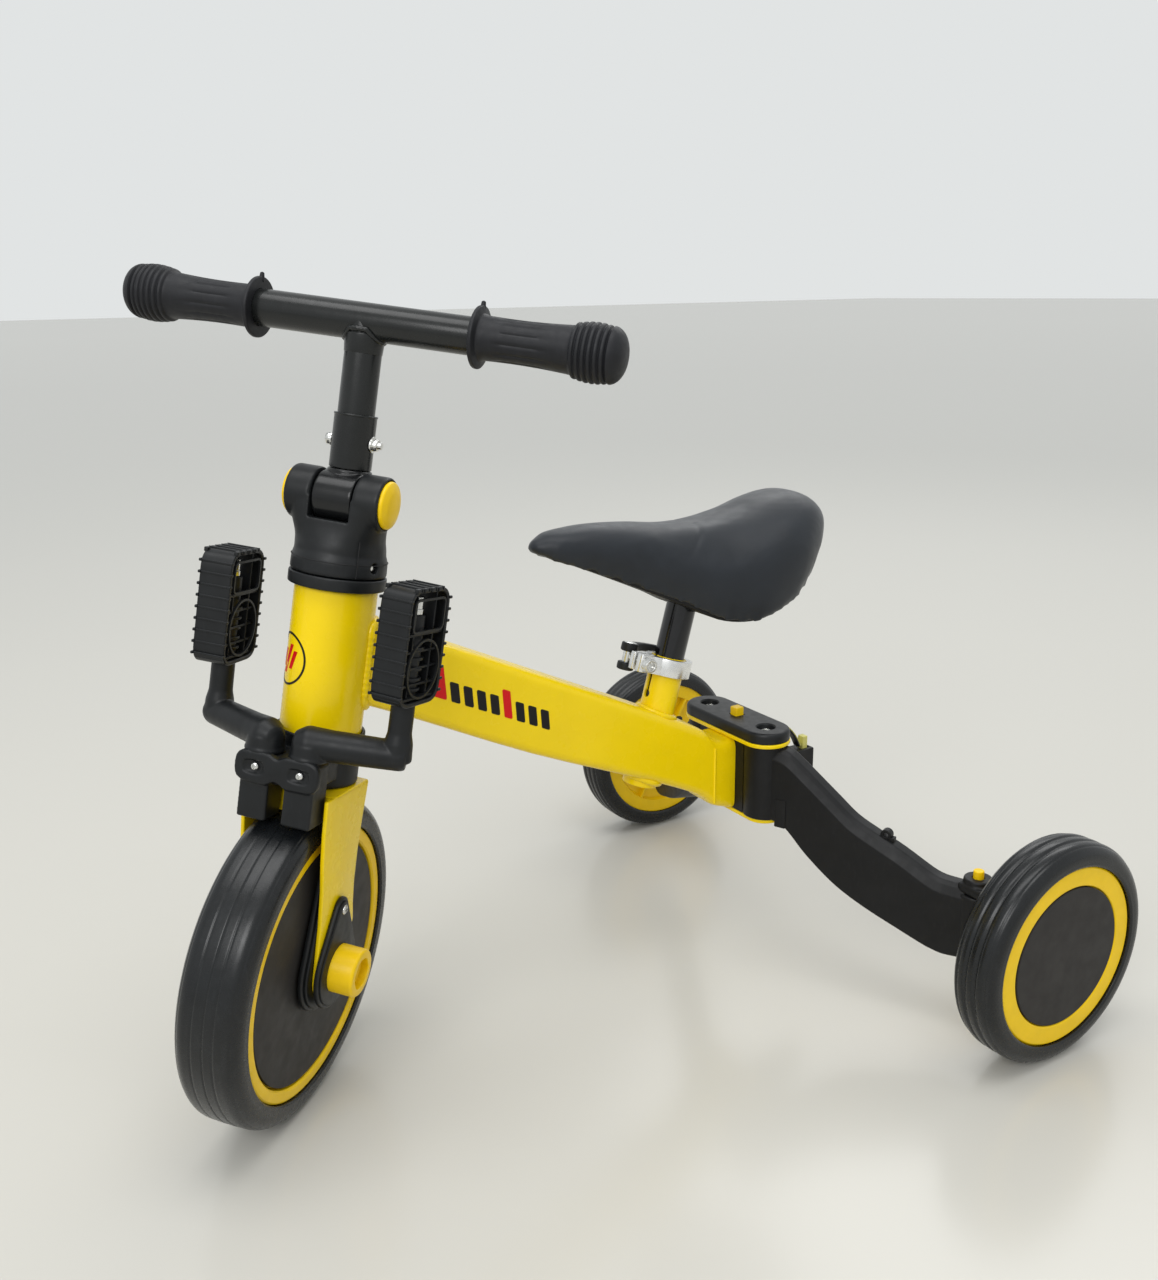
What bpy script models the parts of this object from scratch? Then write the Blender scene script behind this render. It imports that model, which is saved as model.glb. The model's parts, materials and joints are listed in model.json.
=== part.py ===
"""Children's convertible tricycle: folding handlebar, stored pedals and swinging rear arms.

The part's frame: +X forward, +Y to the rider's left, +Z up, the floor at z = 0. All sizes below are in
millimetres; shapes are scaled to metres when their meshes are made. The front assembly stands turned to the
rider's left by STEER_ANGLE.
"""
import math

import bmesh
import bpy
from mathutils import Matrix, Vector

MM = 0.001
GAP = 0.3                      # running gap between pieces that touch

# ---- driving dimensions --------------------------------------------------------------------------
LENGTH_CENTRE = -252.6         # x of the middle of the object's length, seen from the front axle line
RAKE = math.radians(10.9)      # the steering axis leans back
STEER_ANGLE = math.radians(43.0)
WHEEL_LEAD = 5.4               # the front axle lies ahead of the steering axis

FRONT_RADIUS = 120.0
FRONT_HALF_WIDTH = 24.4
FRONT_RIM_RADIUS = 104.0       # the tyre's seat
FRONT_RING_RADIUS = 101.5      # outer edge of the yellow ring that shows
FRONT_DISC_RADIUS = 90.0
HUB_RADIUS = 17.5
HUB_HALF_LENGTH = 56.0
PEG_FLATS = 15.0               # hexagonal crank pegs and their sockets, across the flats

REAR_RADIUS = 90.0
REAR_HALF_WIDTH = 19.1
REAR_RIM_RADIUS = 75.0
REAR_RING_RADIUS = 73.0
REAR_DISC_RADIUS = 57.0
REAR_AXLE_X = -513.0
REAR_WHEEL_Y = 263.8
AXLE_RADIUS = 5.0

HEAD_RADIUS = 28.8
HEAD_BOTTOM = 171.2            # heights along the steering axis, from the front axle's level
HEAD_TOP = 274.6
STEERER_RADIUS = 14.0
CROWN_TOP = 135.0
PLATE = 3.0                    # sheet thickness of the fork

FOLD_AXIS_LEAD = 8.0           # the handlebar's hinge lies ahead of the steering axis
FOLD_AXIS_HEIGHT = 336.0
FOLD_CAP_TRAVEL = 3.0
SLEEVE_TOP = 392.8
BAR_HEIGHT = 454.2
BAR_RADIUS = 12.65
BAR_HALF_LENGTH = 150.0
GRIP_INNER_END = 79.0
GRIP_BALL_AT = 161.8
GRIP_BALL_RADIUS = 19.1

HOLDER_SOCKET_LEAD = 48.0      # the stored cranks stand in front of the head tube
HOLDER_SOCKET_SIDE = 16.5
CRANK_LENGTH = 58.0
CRANK_HEIGHT = 174.0
PEDAL_WIDE, PEDAL_THICK, PEDAL_LONG = 52.0, 23.0, 79.0
PEDAL_BOTTOM = 211.5
CRANK_BACK_ANGLE = {"left": math.radians(15.3), "right": math.radians(26.6)}
PEDAL_TURN = {"left": math.radians(-8.6), "right": math.radians(4.0)}

TUBE_HALF_WIDTH = 20.0
TUBE_TOP = ((-40.0, 374.0), (-350.0, 226.0), (-368.0, 217.0), (-376.0, 209.6), (-398.0, 209.6))
TUBE_DEPTH = (66.0, 62.5, 60.5, 58.0, 72.0)

SEAT_LEAN = math.radians(16.0)
SEAT_FOOT = Vector((-309.4, 0.0, 176.0))
SEAT_TUBE_LENGTH = 117.0
SEAT_TUBE_RADIUS = 14.5
SEAT_POST_RADIUS = 12.5
CLAMP_BOTTOM, CLAMP_TOP = 102.0, 116.5

ARM_PIVOT = Vector((-415.0, 39.0, 0.0))
ARM_BOSS = Vector((-489.0, 212.0, 0.0))
ARM_HALF_THICKNESS = 13.0
BRACKET_TOP = 213.4
BRACKET_BOTTOM = 131.0
BRACKET_PLATE = 3.4
BRACKET_END_RADIUS = 21.0
COVER_TOP = 223.0

# along the arm from its pivot: (distance, lowest z, highest z)
ARM_SECTIONS = (
    (12.0, 136.0, 209.0), (24.0, 135.2, 206.0), (32.0, 131.0, 201.5), (46.0, 119.0, 192.0),
    (67.0, 104.5, 175.0), (85.0, 94.0, 161.6), (127.0, 77.5, 143.0), (150.0, 69.5, 131.5),
    (168.0, 66.0, 129.0), (171.0, 66.0, 121.2), (181.0, 68.0, 120.6),
)
# along the saddle from its nose: (x, half width, lowest z, highest z)
SADDLE_SECTIONS = (
    (-220.0, 12.0, 390.0, 405.0), (-232.0, 21.0, 384.0, 412.0), (-260.0, 27.0, 374.0, 412.0),
    (-300.0, 34.0, 358.0, 407.0), (-335.0, 44.0, 345.0, 403.0), (-370.0, 57.0, 332.0, 404.0),
    (-405.0, 68.0, 326.0, 410.0), (-440.0, 72.0, 328.0, 417.0), (-465.0, 66.0, 336.0, 418.0),
    (-480.0, 49.0, 350.0, 413.0), (-487.0, 28.0, 366.0, 404.0),
)
SADDLE_RECESS = 12.0
SADDLE_BASE_THICKNESS = 5.0

ROUND = 20                     # facets of a round piece
FINE = 36                      # facets of a wheel


# ---- materials -----------------------------------------------------------------------------------
def material(name, colour, roughness, metallic=0.0):
    """A plain Principled material."""
    made = bpy.data.materials.new(name)
    made.use_nodes = True
    shader = made.node_tree.nodes["Principled BSDF"]
    shader.inputs["Base Color"].default_value = (*colour, 1.0)
    shader.inputs["Roughness"].default_value = roughness
    shader.inputs["Metallic"].default_value = metallic
    return made


def make_materials():
    """The tricycle's finishes, by name."""
    return {
        "yellow_paint": material("yellow_paint", (0.80, 0.62, 0.0), 0.3),
        "yellow_plastic": material("yellow_plastic", (0.82, 0.60, 0.0), 0.4),
        "black_plastic": material("black_plastic", (0.025, 0.025, 0.028), 0.5),
        "grey_plastic": material("grey_plastic", (0.06, 0.055, 0.055), 0.6),
        "tyre_foam": material("tyre_foam", (0.02, 0.02, 0.022), 0.55),
        "grip_rubber": material("grip_rubber", (0.025, 0.025, 0.03), 0.6),
        "black_steel": material("black_steel", (0.02, 0.02, 0.022), 0.3, 0.4),
        "bright_steel": material("bright_steel", (0.75, 0.75, 0.75), 0.25, 1.0),
        "aluminium": material("aluminium", (0.8, 0.8, 0.8), 0.3, 1.0),
        "saddle_cover": material("saddle_cover", (0.02, 0.02, 0.022), 0.5),
    }


# ---- mesh tools ----------------------------------------------------------------------------------
def place(name, at=(0.0, 0.0, 0.0), rotation=None, parent=None):
    """An empty that carries pieces: at is in millimetres in the parent's frame."""
    empty = bpy.data.objects.new(name, None)
    bpy.context.collection.objects.link(empty)
    empty.parent = parent
    empty.matrix_local = Matrix.Translation(Vector(at) * MM) @ (rotation or Matrix.Identity(4))
    return empty


def finish_mesh(name, bm, parent, finish):
    """Turn a bmesh in millimetres into a named object in metres under its parent."""
    bmesh.ops.remove_doubles(bm, verts=bm.verts, dist=0.001)
    bmesh.ops.recalc_face_normals(bm, faces=bm.faces)
    bmesh.ops.scale(bm, vec=(MM, MM, MM), verts=bm.verts)
    mesh = bpy.data.meshes.new(name)
    bm.to_mesh(mesh)
    bm.free()
    mesh.shade_smooth()
    mesh.set_sharp_from_angle(angle=math.radians(35.0))
    made = bpy.data.objects.new(name, mesh)
    bpy.context.collection.objects.link(made)
    made.parent = parent
    if finish:
        mesh.materials.append(MATERIALS[finish])
    return made


def along(axis):
    """The rotation that turns +Z onto the named axis."""
    turns = {
        "X": Matrix.Rotation(math.radians(90.0), 4, "Y"),
        "Y": Matrix.Rotation(math.radians(-90.0), 4, "X"),
        "Z": Matrix.Identity(4),
    }
    return turns[axis]


def turned_mesh(profile, axis="Z", at=(0.0, 0.0, 0.0), steps=ROUND):
    """A closed profile of (radius, distance along the axis) spun into a solid."""
    bm = bmesh.new()
    corners = [bm.verts.new((radius, 0.0, height)) for radius, height in profile]
    ring = corners[0].co.x > 0.0 or corners[-1].co.x > 0.0
    edges = [bm.edges.new(pair) for pair in zip(corners, corners[1:])]
    if ring:
        edges.append(bm.edges.new((corners[-1], corners[0])))
    bmesh.ops.spin(bm, geom=corners + edges, cent=(0, 0, 0), axis=(0, 0, 1), angle=math.tau, steps=steps,
                   use_merge=True)
    bmesh.ops.remove_doubles(bm, verts=bm.verts, dist=0.001)
    bmesh.ops.transform(bm, matrix=Matrix.Translation(Vector(at)) @ along(axis), verts=bm.verts)
    return bm


def turned(name, profile, parent, finish, axis="Z", at=(0.0, 0.0, 0.0), steps=ROUND):
    """A turned solid as a named object."""
    return finish_mesh(name, turned_mesh(profile, axis, at, steps), parent, finish)


def rod(radius, low, high, bore=0.0):
    """The profile of a plain rod, or of a tube when it has a bore."""
    if bore:
        return [(bore, low), (radius, low), (radius, high), (bore, high)]
    return [(0.0, low), (radius, low), (radius, high), (0.0, high)]


def prism_mesh(outline, low, high, axis="Z", at=(0.0, 0.0, 0.0)):
    """A closed outline of (x, y) points extruded along the axis."""
    bm = bmesh.new()
    face = bm.faces.new([bm.verts.new((x, y, low)) for x, y in outline])
    grown = bmesh.ops.extrude_face_region(bm, geom=[face])
    top = [item for item in grown["geom"] if isinstance(item, bmesh.types.BMVert)]
    bmesh.ops.translate(bm, vec=(0.0, 0.0, high - low), verts=top)
    bmesh.ops.transform(bm, matrix=Matrix.Translation(Vector(at)) @ along(axis), verts=bm.verts)
    return bm


def prism(name, outline, low, high, parent, finish, axis="Z", at=(0.0, 0.0, 0.0)):
    """An extruded outline as a named object."""
    return finish_mesh(name, prism_mesh(outline, low, high, axis, at), parent, finish)


def box_outline(x_low, x_high, y_low, y_high, corner=0.0, steps=3):
    """A rectangle, with rounded corners where corner is given."""
    if not corner:
        return [(x_low, y_low), (x_high, y_low), (x_high, y_high), (x_low, y_high)]
    centres = ((x_high - corner, y_high - corner), (x_low + corner, y_high - corner),
               (x_low + corner, y_low + corner), (x_high - corner, y_low + corner))
    points = []
    for quarter, (x, y) in enumerate(centres):
        for step in range(steps + 1):
            angle = (quarter + step / steps) * math.pi / 2.0
            points.append((x + corner * math.cos(angle), y + corner * math.sin(angle)))
    return points


def belt_outline(circles, steps=10):
    """The outline of a belt round two circles (x, y, radius)."""
    (x1, y1, r1), (x2, y2, r2) = circles
    heading = math.atan2(y2 - y1, x2 - x1)
    lift = math.acos((r1 - r2) / math.hypot(x2 - x1, y2 - y1))
    points = []
    for step in range(steps + 1):
        angle = heading + lift + (math.tau - 2.0 * lift) * step / steps
        points.append((x1 + r1 * math.cos(angle), y1 + r1 * math.sin(angle)))
    for step in range(steps + 1):
        angle = heading - lift + 2.0 * lift * step / steps
        points.append((x2 + r2 * math.cos(angle), y2 + r2 * math.sin(angle)))
    return points


def hexagon(across_flats, turn=0.0):
    """A regular hexagon given across its flats."""
    radius = across_flats / math.sqrt(3.0)
    angles = [turn + math.tau * corner / 6.0 for corner in range(6)]
    return [(radius * math.cos(angle), radius * math.sin(angle)) for angle in angles]


def loft_mesh(loops):
    """Closed loops of equal length, joined one to the next and capped at both ends."""
    bm = bmesh.new()
    rings = [[bm.verts.new(point) for point in loop] for loop in loops]
    count = len(rings[0])
    for first, second in zip(rings, rings[1:]):
        for index in range(count):
            after = (index + 1) % count
            bm.faces.new((first[index], first[after], second[after], second[index]))
    bm.faces.new(rings[0])
    bm.faces.new(reversed(rings[-1]))
    return bm


def combine(target, other, operation):
    """Join or cut the target with another closed object, which is then only a tool."""
    other.hide_render = True
    other.display_type = "WIRE"
    step = target.modifiers.new(operation.lower() + "_" + other.name, "BOOLEAN")
    step.operation = operation
    step.object = other
    step.solver = "EXACT"


def join(target, *meshes):
    """Add closed meshes, in millimetres in the target's frame, to the target."""
    for index, bm in enumerate(meshes):
        tool = finish_mesh(f"join_{target.name}_{index}", bm, target.parent, None)
        combine(target, tool, "UNION")


def cut(target, *meshes):
    """Cut closed meshes, in millimetres in the target's frame, from the target."""
    for index, bm in enumerate(meshes):
        tool = finish_mesh(f"cut_{target.name}_{index}", bm, target.parent, None)
        combine(target, tool, "DIFFERENCE")


SIDES = (("left", 1.0), ("right", -1.0))


# ---- wheels --------------------------------------------------------------------------------------
def tyre_profile(radius, half_width, seat, lip, lip_depth):
    """A foam tyre's section: crowned tread, rounded shoulders, and lips over the rim's edges."""
    outer = [
        (radius - 13.0, half_width), (radius - 6.0, half_width - 2.0), (radius - 1.8, half_width - 7.0),
        (radius, half_width * 0.3),
    ]
    inner = [(lip, half_width), (lip, half_width - lip_depth), (seat, half_width - lip_depth)]
    upper = list(reversed(inner)) + outer
    lower = [(r, -h) for r, h in reversed(upper) if h > 0.0]
    return upper + lower


def front_wheel_drop():
    """How far the leaning front wheel reaches below its centre."""
    lean_sine = math.sin(RAKE) * math.sin(STEER_ANGLE)
    lean_cosine = math.sqrt(1.0 - lean_sine ** 2)
    profile = tyre_profile(FRONT_RADIUS, FRONT_HALF_WIDTH, FRONT_RIM_RADIUS, FRONT_RING_RADIUS, 4.0)
    return max(r * lean_cosine + h * lean_sine for r, h in profile)


def make_front_wheel(hub):
    """Tyre, rim with hub sockets and the two disc covers, about the hub's Y axis."""
    seat = FRONT_RIM_RADIUS + GAP
    tyre = tyre_profile(FRONT_RADIUS, FRONT_HALF_WIDTH, seat, FRONT_RING_RADIUS, 4.0)
    turned("front_tyre", tyre, hub, "tyre_foam", "Y", steps=FINE)
    flange = FRONT_HALF_WIDTH - 4.0 - GAP
    half = [(HUB_RADIUS, HUB_HALF_LENGTH), (HUB_RADIUS, 3.0), (FRONT_DISC_RADIUS, 3.0),
            (FRONT_DISC_RADIUS, flange), (FRONT_RIM_RADIUS, flange)]
    profile = [(0.0, HUB_HALF_LENGTH)] + half
    profile += [(r, -h) for r, h in reversed(profile)]
    rim = turned("front_rim", profile, hub, "yellow_plastic", "Y", steps=FINE)
    for _, side in SIDES:
        low, high = sorted((side * 14.0, side * (HUB_HALF_LENGTH + 5.0)))
        cut(rim, prism_mesh(hexagon(PEG_FLATS + 2 * GAP), low, high, "Y"))
    for name, side in SIDES:
        low, high = sorted((side * 15.5, side * 18.5))
        ring = rod(FRONT_DISC_RADIUS - GAP, low, high, HUB_RADIUS + GAP)
        turned("front_disc_" + name, ring, hub, "grey_plastic", "Y", steps=FINE)


def make_rear_wheel(name, side, hub):
    """Tyre, rim and outer disc cover of one rear wheel, about the hub's Y axis."""
    seat = REAR_RIM_RADIUS + GAP
    tyre = tyre_profile(REAR_RADIUS, REAR_HALF_WIDTH, seat, REAR_RING_RADIUS, 2.5)
    turned("rear_tyre_" + name, tyre, hub, "tyre_foam", "Y", steps=FINE)
    flange = REAR_HALF_WIDTH - 2.5 - GAP
    profile = [
        (AXLE_RADIUS + GAP, -flange * side), (REAR_RIM_RADIUS, -flange * side),
        (REAR_RIM_RADIUS, flange * side), (REAR_DISC_RADIUS, flange * side),
        (REAR_DISC_RADIUS, (flange - 3.0) * side),
        (AXLE_RADIUS + GAP, (flange - 3.0) * side),
    ]
    turned("rear_rim_" + name, profile, hub, "yellow_plastic", "Y", steps=FINE)
    low, high = sorted((side * (flange - 3.0 + GAP), side * (flange + 0.5)))
    turned("rear_disc_" + name, rod(REAR_DISC_RADIUS - GAP, low, high), hub, "grey_plastic", "Y", steps=FINE)


# ---- frame ---------------------------------------------------------------------------------------
def tube_loops():
    """Upright rounded-rectangle loops of the main tube, front to rear."""
    loops = []
    for (x, top), depth in zip(TUBE_TOP, TUBE_DEPTH):
        outline = box_outline(-TUBE_HALF_WIDTH, TUBE_HALF_WIDTH, top - depth, top, 9.0, 3)
        loops.append([(x, y, z) for y, z in outline])
    return loops


def seat_axis_mesh(radius):
    """A long rod along the seat tube's axis, in the frame's own coordinates."""
    bm = turned_mesh(rod(radius, -60.0, 160.0))
    lean = Matrix.Translation(SEAT_FOOT) @ Matrix.Rotation(-SEAT_LEAN, 4, "Y")
    bmesh.ops.transform(bm, matrix=lean, verts=bm.verts)
    return bm


def head_axis_mesh(profile, head_matrix):
    """A turned solid on the steering axis, in the frame's own coordinates."""
    bm = turned_mesh(profile)
    bmesh.ops.transform(bm, matrix=head_matrix, verts=bm.verts)
    return bm


def make_frame(base, head, head_matrix):
    """Head tube with its bush, main tube and the rear bracket."""
    turned("head_tube", rod(HEAD_RADIUS, HEAD_BOTTOM, HEAD_TOP, 24.0), head, "yellow_paint")
    bush = rod(24.0 - GAP, 0.0, 9.0, STEERER_RADIUS + GAP)
    turned("head_bush", bush, head, "black_plastic", at=(0, 0, HEAD_TOP - 9.2))

    tube = finish_mesh("main_tube", loft_mesh(tube_loops()), base, "yellow_paint")
    cut(tube, head_axis_mesh(rod(HEAD_RADIUS + GAP, 100.0, 320.0), head_matrix),
        seat_axis_mesh(SEAT_TUBE_RADIUS + GAP))

    ends = ((ARM_PIVOT.x, -ARM_PIVOT.y, BRACKET_END_RADIUS), (ARM_PIVOT.x, ARM_PIVOT.y, BRACKET_END_RADIUS))
    shape = belt_outline(ends)
    bolt_hole = turned_mesh(rod(5.0 + GAP, 100.0, 240.0), at=ARM_PIVOT)
    other_hole = turned_mesh(rod(5.0 + GAP, 100.0, 240.0), at=(ARM_PIVOT.x, -ARM_PIVOT.y, 0.0))
    button_hole = prism_mesh(box_outline(-423.0, -407.0, -8.0, 8.0), 180.0, 240.0)
    top = prism("bracket_top_plate", shape, BRACKET_TOP - BRACKET_PLATE, BRACKET_TOP, base, "yellow_paint")
    cut(top, bolt_hole, other_hole, button_hole)
    bottom = prism("bracket_bottom_plate", shape, BRACKET_BOTTOM, BRACKET_BOTTOM + BRACKET_PLATE, base,
                   "yellow_paint")
    cut(bottom, turned_mesh(rod(5.0 + GAP, 100.0, 240.0), at=ARM_PIVOT),
        turned_mesh(rod(5.0 + GAP, 100.0, 240.0), at=(ARM_PIVOT.x, -ARM_PIVOT.y, 0.0)))


def make_pivot_cover(base):
    """The black cover, its two bolts and the button between them."""
    x, y = ARM_PIVOT.x, ARM_PIVOT.y
    shape = belt_outline(((x, -y, BRACKET_END_RADIUS - 0.5), (x, y, BRACKET_END_RADIUS - 0.5)))
    cover = prism("pivot_cover", shape, BRACKET_TOP + GAP, COVER_TOP, base, "black_plastic")
    cut(cover, prism_mesh(box_outline(x - 5.0, x + 5.0, -5.0, 5.0), 200.0, 240.0))
    for _, side in SIDES:
        cut(cover, turned_mesh(rod(8.0, 200.0, 240.0), at=(x, y * side, 0.0)))
    for name, side in SIDES:
        head = BRACKET_TOP + GAP
        profile = [(0.0, BRACKET_BOTTOM - 3.0), (5.0, BRACKET_BOTTOM - 3.0), (5.0, head), (7.2, head),
                   (7.2, head + 3.6), (0.0, head + 4.4)]
        turned("pivot_bolt_" + name, profile, base, "bright_steel", at=(x, y * side, 0.0), steps=20)
    button = place("lock_button_axis", (x, 0.0, 0.0), parent=base)
    prism("lock_button", box_outline(-4.6, 4.6, -4.6, 4.6, 1.4), BRACKET_TOP - 6.0, COVER_TOP + 7.0, button,
          "yellow_plastic")


def make_rear_stop(base):
    """The black block between the arms and the thin strap that plugs into it."""
    block = prism("stop_block", box_outline(-500.0, -399.5, -8.0, 8.0, 2.0), 150.0, 176.0, base,
                  "black_plastic")
    cut(block, prism_mesh(box_outline(-497.5, -487.5, -5.0, 5.0), 164.0, 190.0))
    centre_x, centre_z = -436.0, 158.0
    radius = 53.0
    points = []
    for edge in (radius, radius + 2.4):
        arc = []
        for step in range(13):
            angle = math.radians(91.5 + 66.0 * step / 12.0)
            arc.append((centre_x + edge * math.cos(angle), centre_z + edge * math.sin(angle)))
        points += arc if edge == radius else arc[::-1]
    outline = [(x, -z) for x, z in points]
    strap = prism_mesh(outline, -4.0, 4.0, "Y")
    finish_mesh("rear_strap", strap, base, "black_plastic")
    prism("strap_plug", box_outline(-495.5, -489.5, -3.6, 3.6, 1.0), 164.3, 187.0, base, "yellow_plastic")


def make_seat_tube(seat):
    """Seat tube with its slot, and the clamp round its top."""
    tube = turned("seat_tube", rod(SEAT_TUBE_RADIUS, 0.0, SEAT_TUBE_LENGTH, SEAT_POST_RADIUS + GAP), seat,
                  "yellow_paint")
    cut(tube, prism_mesh(box_outline(5.0, 20.0, -1.5, 1.5), 84.0, 130.0))
    ring = turned("seat_clamp", rod(20.0, CLAMP_BOTTOM, CLAMP_TOP, SEAT_TUBE_RADIUS + GAP), seat, "aluminium")
    join(ring, prism_mesh(box_outline(17.0, 36.0, -11.0, 11.0, 3.0), CLAMP_BOTTOM, CLAMP_TOP))
    bolt_height = (CLAMP_BOTTOM + CLAMP_TOP) / 2.0
    bolt_hole = turned_mesh(rod(3.0, -30.0, 30.0), "Y", (28.0, 0.0, bolt_height), 16)
    cut(ring, prism_mesh(box_outline(10.0, 40.0, -1.6, 1.6), CLAMP_BOTTOM - 5.0, CLAMP_TOP + 5.0), bolt_hole)
    bolt = [(0.0, -12.2), (2.6, -12.2), (2.6, 11.3), (5.2, 11.3), (5.2, 16.5), (2.4, 16.5), (2.4, 13.5),
            (0.0, 13.5)]
    turned("clamp_bolt", bolt, seat, "bright_steel", "Y", (28.0, 0.0, bolt_height), 16)
    make_clamp_lever(seat, bolt_height)


def make_clamp_lever(seat, height):
    """The cam lever, closed round the clamp's right side."""
    pivot = place("clamp_lever_axis", (28.0, -19.0, height), parent=seat)
    start = Vector((28.0, -19.0))
    radii = (26.0, 33.0)
    points = []
    for radius in radii:
        arc = []
        for step in range(9):
            angle = math.radians(-38.0 - 84.0 * step / 8.0)
            point = Vector((radius * math.cos(angle), radius * math.sin(angle))) - start
            arc.append((point.x, point.y))
        points += arc if radius == radii[0] else arc[::-1]
    lever = prism("clamp_lever", points, -4.5, 4.5, pivot, "black_plastic")
    join(lever, turned_mesh(rod(6.5, -5.5, 5.5), steps=20))


def make_seat(seat):
    """Seat post, saddle base and saddle, which slide together in the seat tube."""
    post_top = 171.5
    slide = place("seat_slide_axis", parent=seat)
    turned("seat_post", rod(SEAT_POST_RADIUS, 35.0, post_top, 10.5), slide, "black_steel")
    foot = seat_matrix().inverted()
    upright = place("saddle_frame", foot.to_translation(), Matrix.Rotation(SEAT_LEAN, 4, "Y"), slide)
    saddle_loops = []
    base_loops = []
    for x, wide, low, high in SADDLE_SECTIONS:
        roof = low + SADDLE_RECESS * min(1.0, wide / 30.0)
        middle = (low + high) / 2.0 + 6.0
        half = [(wide * 0.8, roof), (wide * 0.86, low), (wide, low + 5.0), (wide * 1.02, middle),
                (wide * 0.84, high - 9.0), (wide * 0.5, high - 2.0)]
        loop = [(0.0, roof)] + half + [(0.0, high)] + [(-y, z) for y, z in reversed(half)]
        saddle_loops.append([(x, y, z) for y, z in loop])
        under = roof - GAP
        inner = wide * 0.74
        lower = under - SADDLE_BASE_THICKNESS
        flat = [(-inner, lower), (inner, lower), (inner, under), (-inner, under)]
        base_loops.append([(x, y, z) for y, z in flat])
    finish_mesh("saddle", loft_mesh(saddle_loops), upright, "saddle_cover")
    base = finish_mesh("saddle_base", loft_mesh(base_loops[2:-2]), upright, "black_plastic")
    collar = turned_mesh(rod(18.0, 158.0, 177.0))
    bmesh.ops.transform(collar, matrix=seat_matrix(), verts=collar.verts)
    join(base, collar)
    socket = turned_mesh(rod(SEAT_POST_RADIUS + GAP, 120.0, post_top + GAP))
    bmesh.ops.transform(socket, matrix=seat_matrix(), verts=socket.verts)
    cut(base, socket)


def seat_matrix():
    """The seat tube's frame in millimetres: its foot, with Z along the tube."""
    return Matrix.Translation(SEAT_FOOT) @ Matrix.Rotation(-SEAT_LEAN, 4, "Y")


# ---- rear arms -----------------------------------------------------------------------------------
def arm_loops(side):
    """Chamfered upright loops along the arm, in its pivot's frame."""
    loops = []
    half = ARM_HALF_THICKNESS
    for distance, low, high in ARM_SECTIONS:
        loop = [(half, low + 4.0), (half, high - 8.0), (half - 4.0, high - 2.0), (4.0, high), (-4.0, high),
                (4.0 - half, high - 2.0), (-half, high - 8.0), (-half, low + 4.0), (4.0 - half, low),
                (half - 4.0, low)]
        loops.append([(distance, y * side, z) for y, z in loop])
    return loops


def make_rear_side(name, side, base):
    """One rear arm with its carrier, button, axle and wheel."""
    pivot_at = (ARM_PIVOT.x, ARM_PIVOT.y * side, 0.0)
    reach = Vector((ARM_BOSS.x - ARM_PIVOT.x, (ARM_BOSS.y - ARM_PIVOT.y) * side))
    turn = Matrix.Rotation(math.atan2(reach.y, reach.x), 4, "Z")
    pivot = place("rear_arm_axis_" + name, pivot_at, parent=base)
    skew = place("rear_arm_line_" + name, rotation=turn, parent=pivot)
    length = reach.length

    arm = finish_mesh("rear_arm_" + name, loft_mesh(arm_loops(side)), skew, "black_plastic")
    low = BRACKET_BOTTOM + BRACKET_PLATE + GAP
    high = BRACKET_TOP - BRACKET_PLATE - GAP
    join(arm, turned_mesh(rod(15.5, low, high)), turned_mesh(rod(15.0, 72.0, 122.0), at=(length, 0.0, 0.0)))
    cut(arm, turned_mesh(rod(5.0 + GAP, 100.0, 240.0), steps=20),
        turned_mesh(rod(9.0 + GAP, 60.0, 130.0), at=(length, 0.0, 0.0)))

    swivel = place("wheel_swivel_axis_" + name, (reach.x, reach.y, 0.0), parent=pivot)
    bridge_top = 129.0
    carrier = turned("wheel_carrier_" + name, rod(9.0, 64.0, bridge_top), swivel, "black_plastic", steps=24)
    bridge = sorted((-10.0 * side, 25.0 * side))
    plate = sorted((18.0 * side, 25.0 * side))
    join(carrier, prism_mesh(box_outline(-12.0, 12.0, *bridge), 122.4, bridge_top),
         prism_mesh(box_outline(-38.0, 12.0, *plate), 70.0, bridge_top),
         turned_mesh(rod(10.5, bridge_top - 2.0, 134.0), steps=20))
    axle_at = (REAR_AXLE_X - ARM_BOSS.x, 0.0, REAR_RADIUS)
    inner, outer = sorted((15.0 * side, 40.0 * side))
    axle_hole = turned_mesh(rod(AXLE_RADIUS + GAP, inner, outer), "Y", axle_at, 16)
    button_hole = turned_mesh(rod(4.6, 116.0, 150.0), steps=16)
    cut(carrier, axle_hole, button_hole)

    button = place("wheel_button_axis_" + name, parent=swivel)
    turned("wheel_button_" + name, rod(4.2, 125.6, 140.0), button, "yellow_plastic", steps=16)

    wheel_y = (REAR_WHEEL_Y - ARM_BOSS.y) * side
    face = 18.0 * side
    head_end = wheel_y + (REAR_HALF_WIDTH - 7.0) * side
    axle = [(0.0, face - 3.0 * side), (8.0, face - 3.0 * side), (8.0, face - GAP * side),
            (AXLE_RADIUS, face - GAP * side), (AXLE_RADIUS, head_end), (0.0, head_end)]
    turned("rear_axle_" + name, axle, swivel, "bright_steel", "Y", axle_at, 16)
    hub = place("rear_wheel_axis_" + name, (axle_at[0], wheel_y, REAR_RADIUS), parent=swivel)
    make_rear_wheel(name, side, hub)


# ---- steering ------------------------------------------------------------------------------------
def blade_outline():
    """A fork blade seen from the side, as (ahead, up) points in the steering frame."""
    top = CROWN_TOP - 1.0
    outline = [(-21.0, top), (-23.5, 90.0), (-21.0, 43.0), (-25.0, 24.0)]
    for step in range(9):
        angle = math.radians(150.0 + 200.0 * step / 8.0)
        outline.append((WHEEL_LEAD + 25.0 * math.cos(angle), 25.0 * math.sin(angle)))
    return outline + [(32.0, 40.0), (36.0, 66.0), (42.0, 108.0), (44.0, top)]


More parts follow.
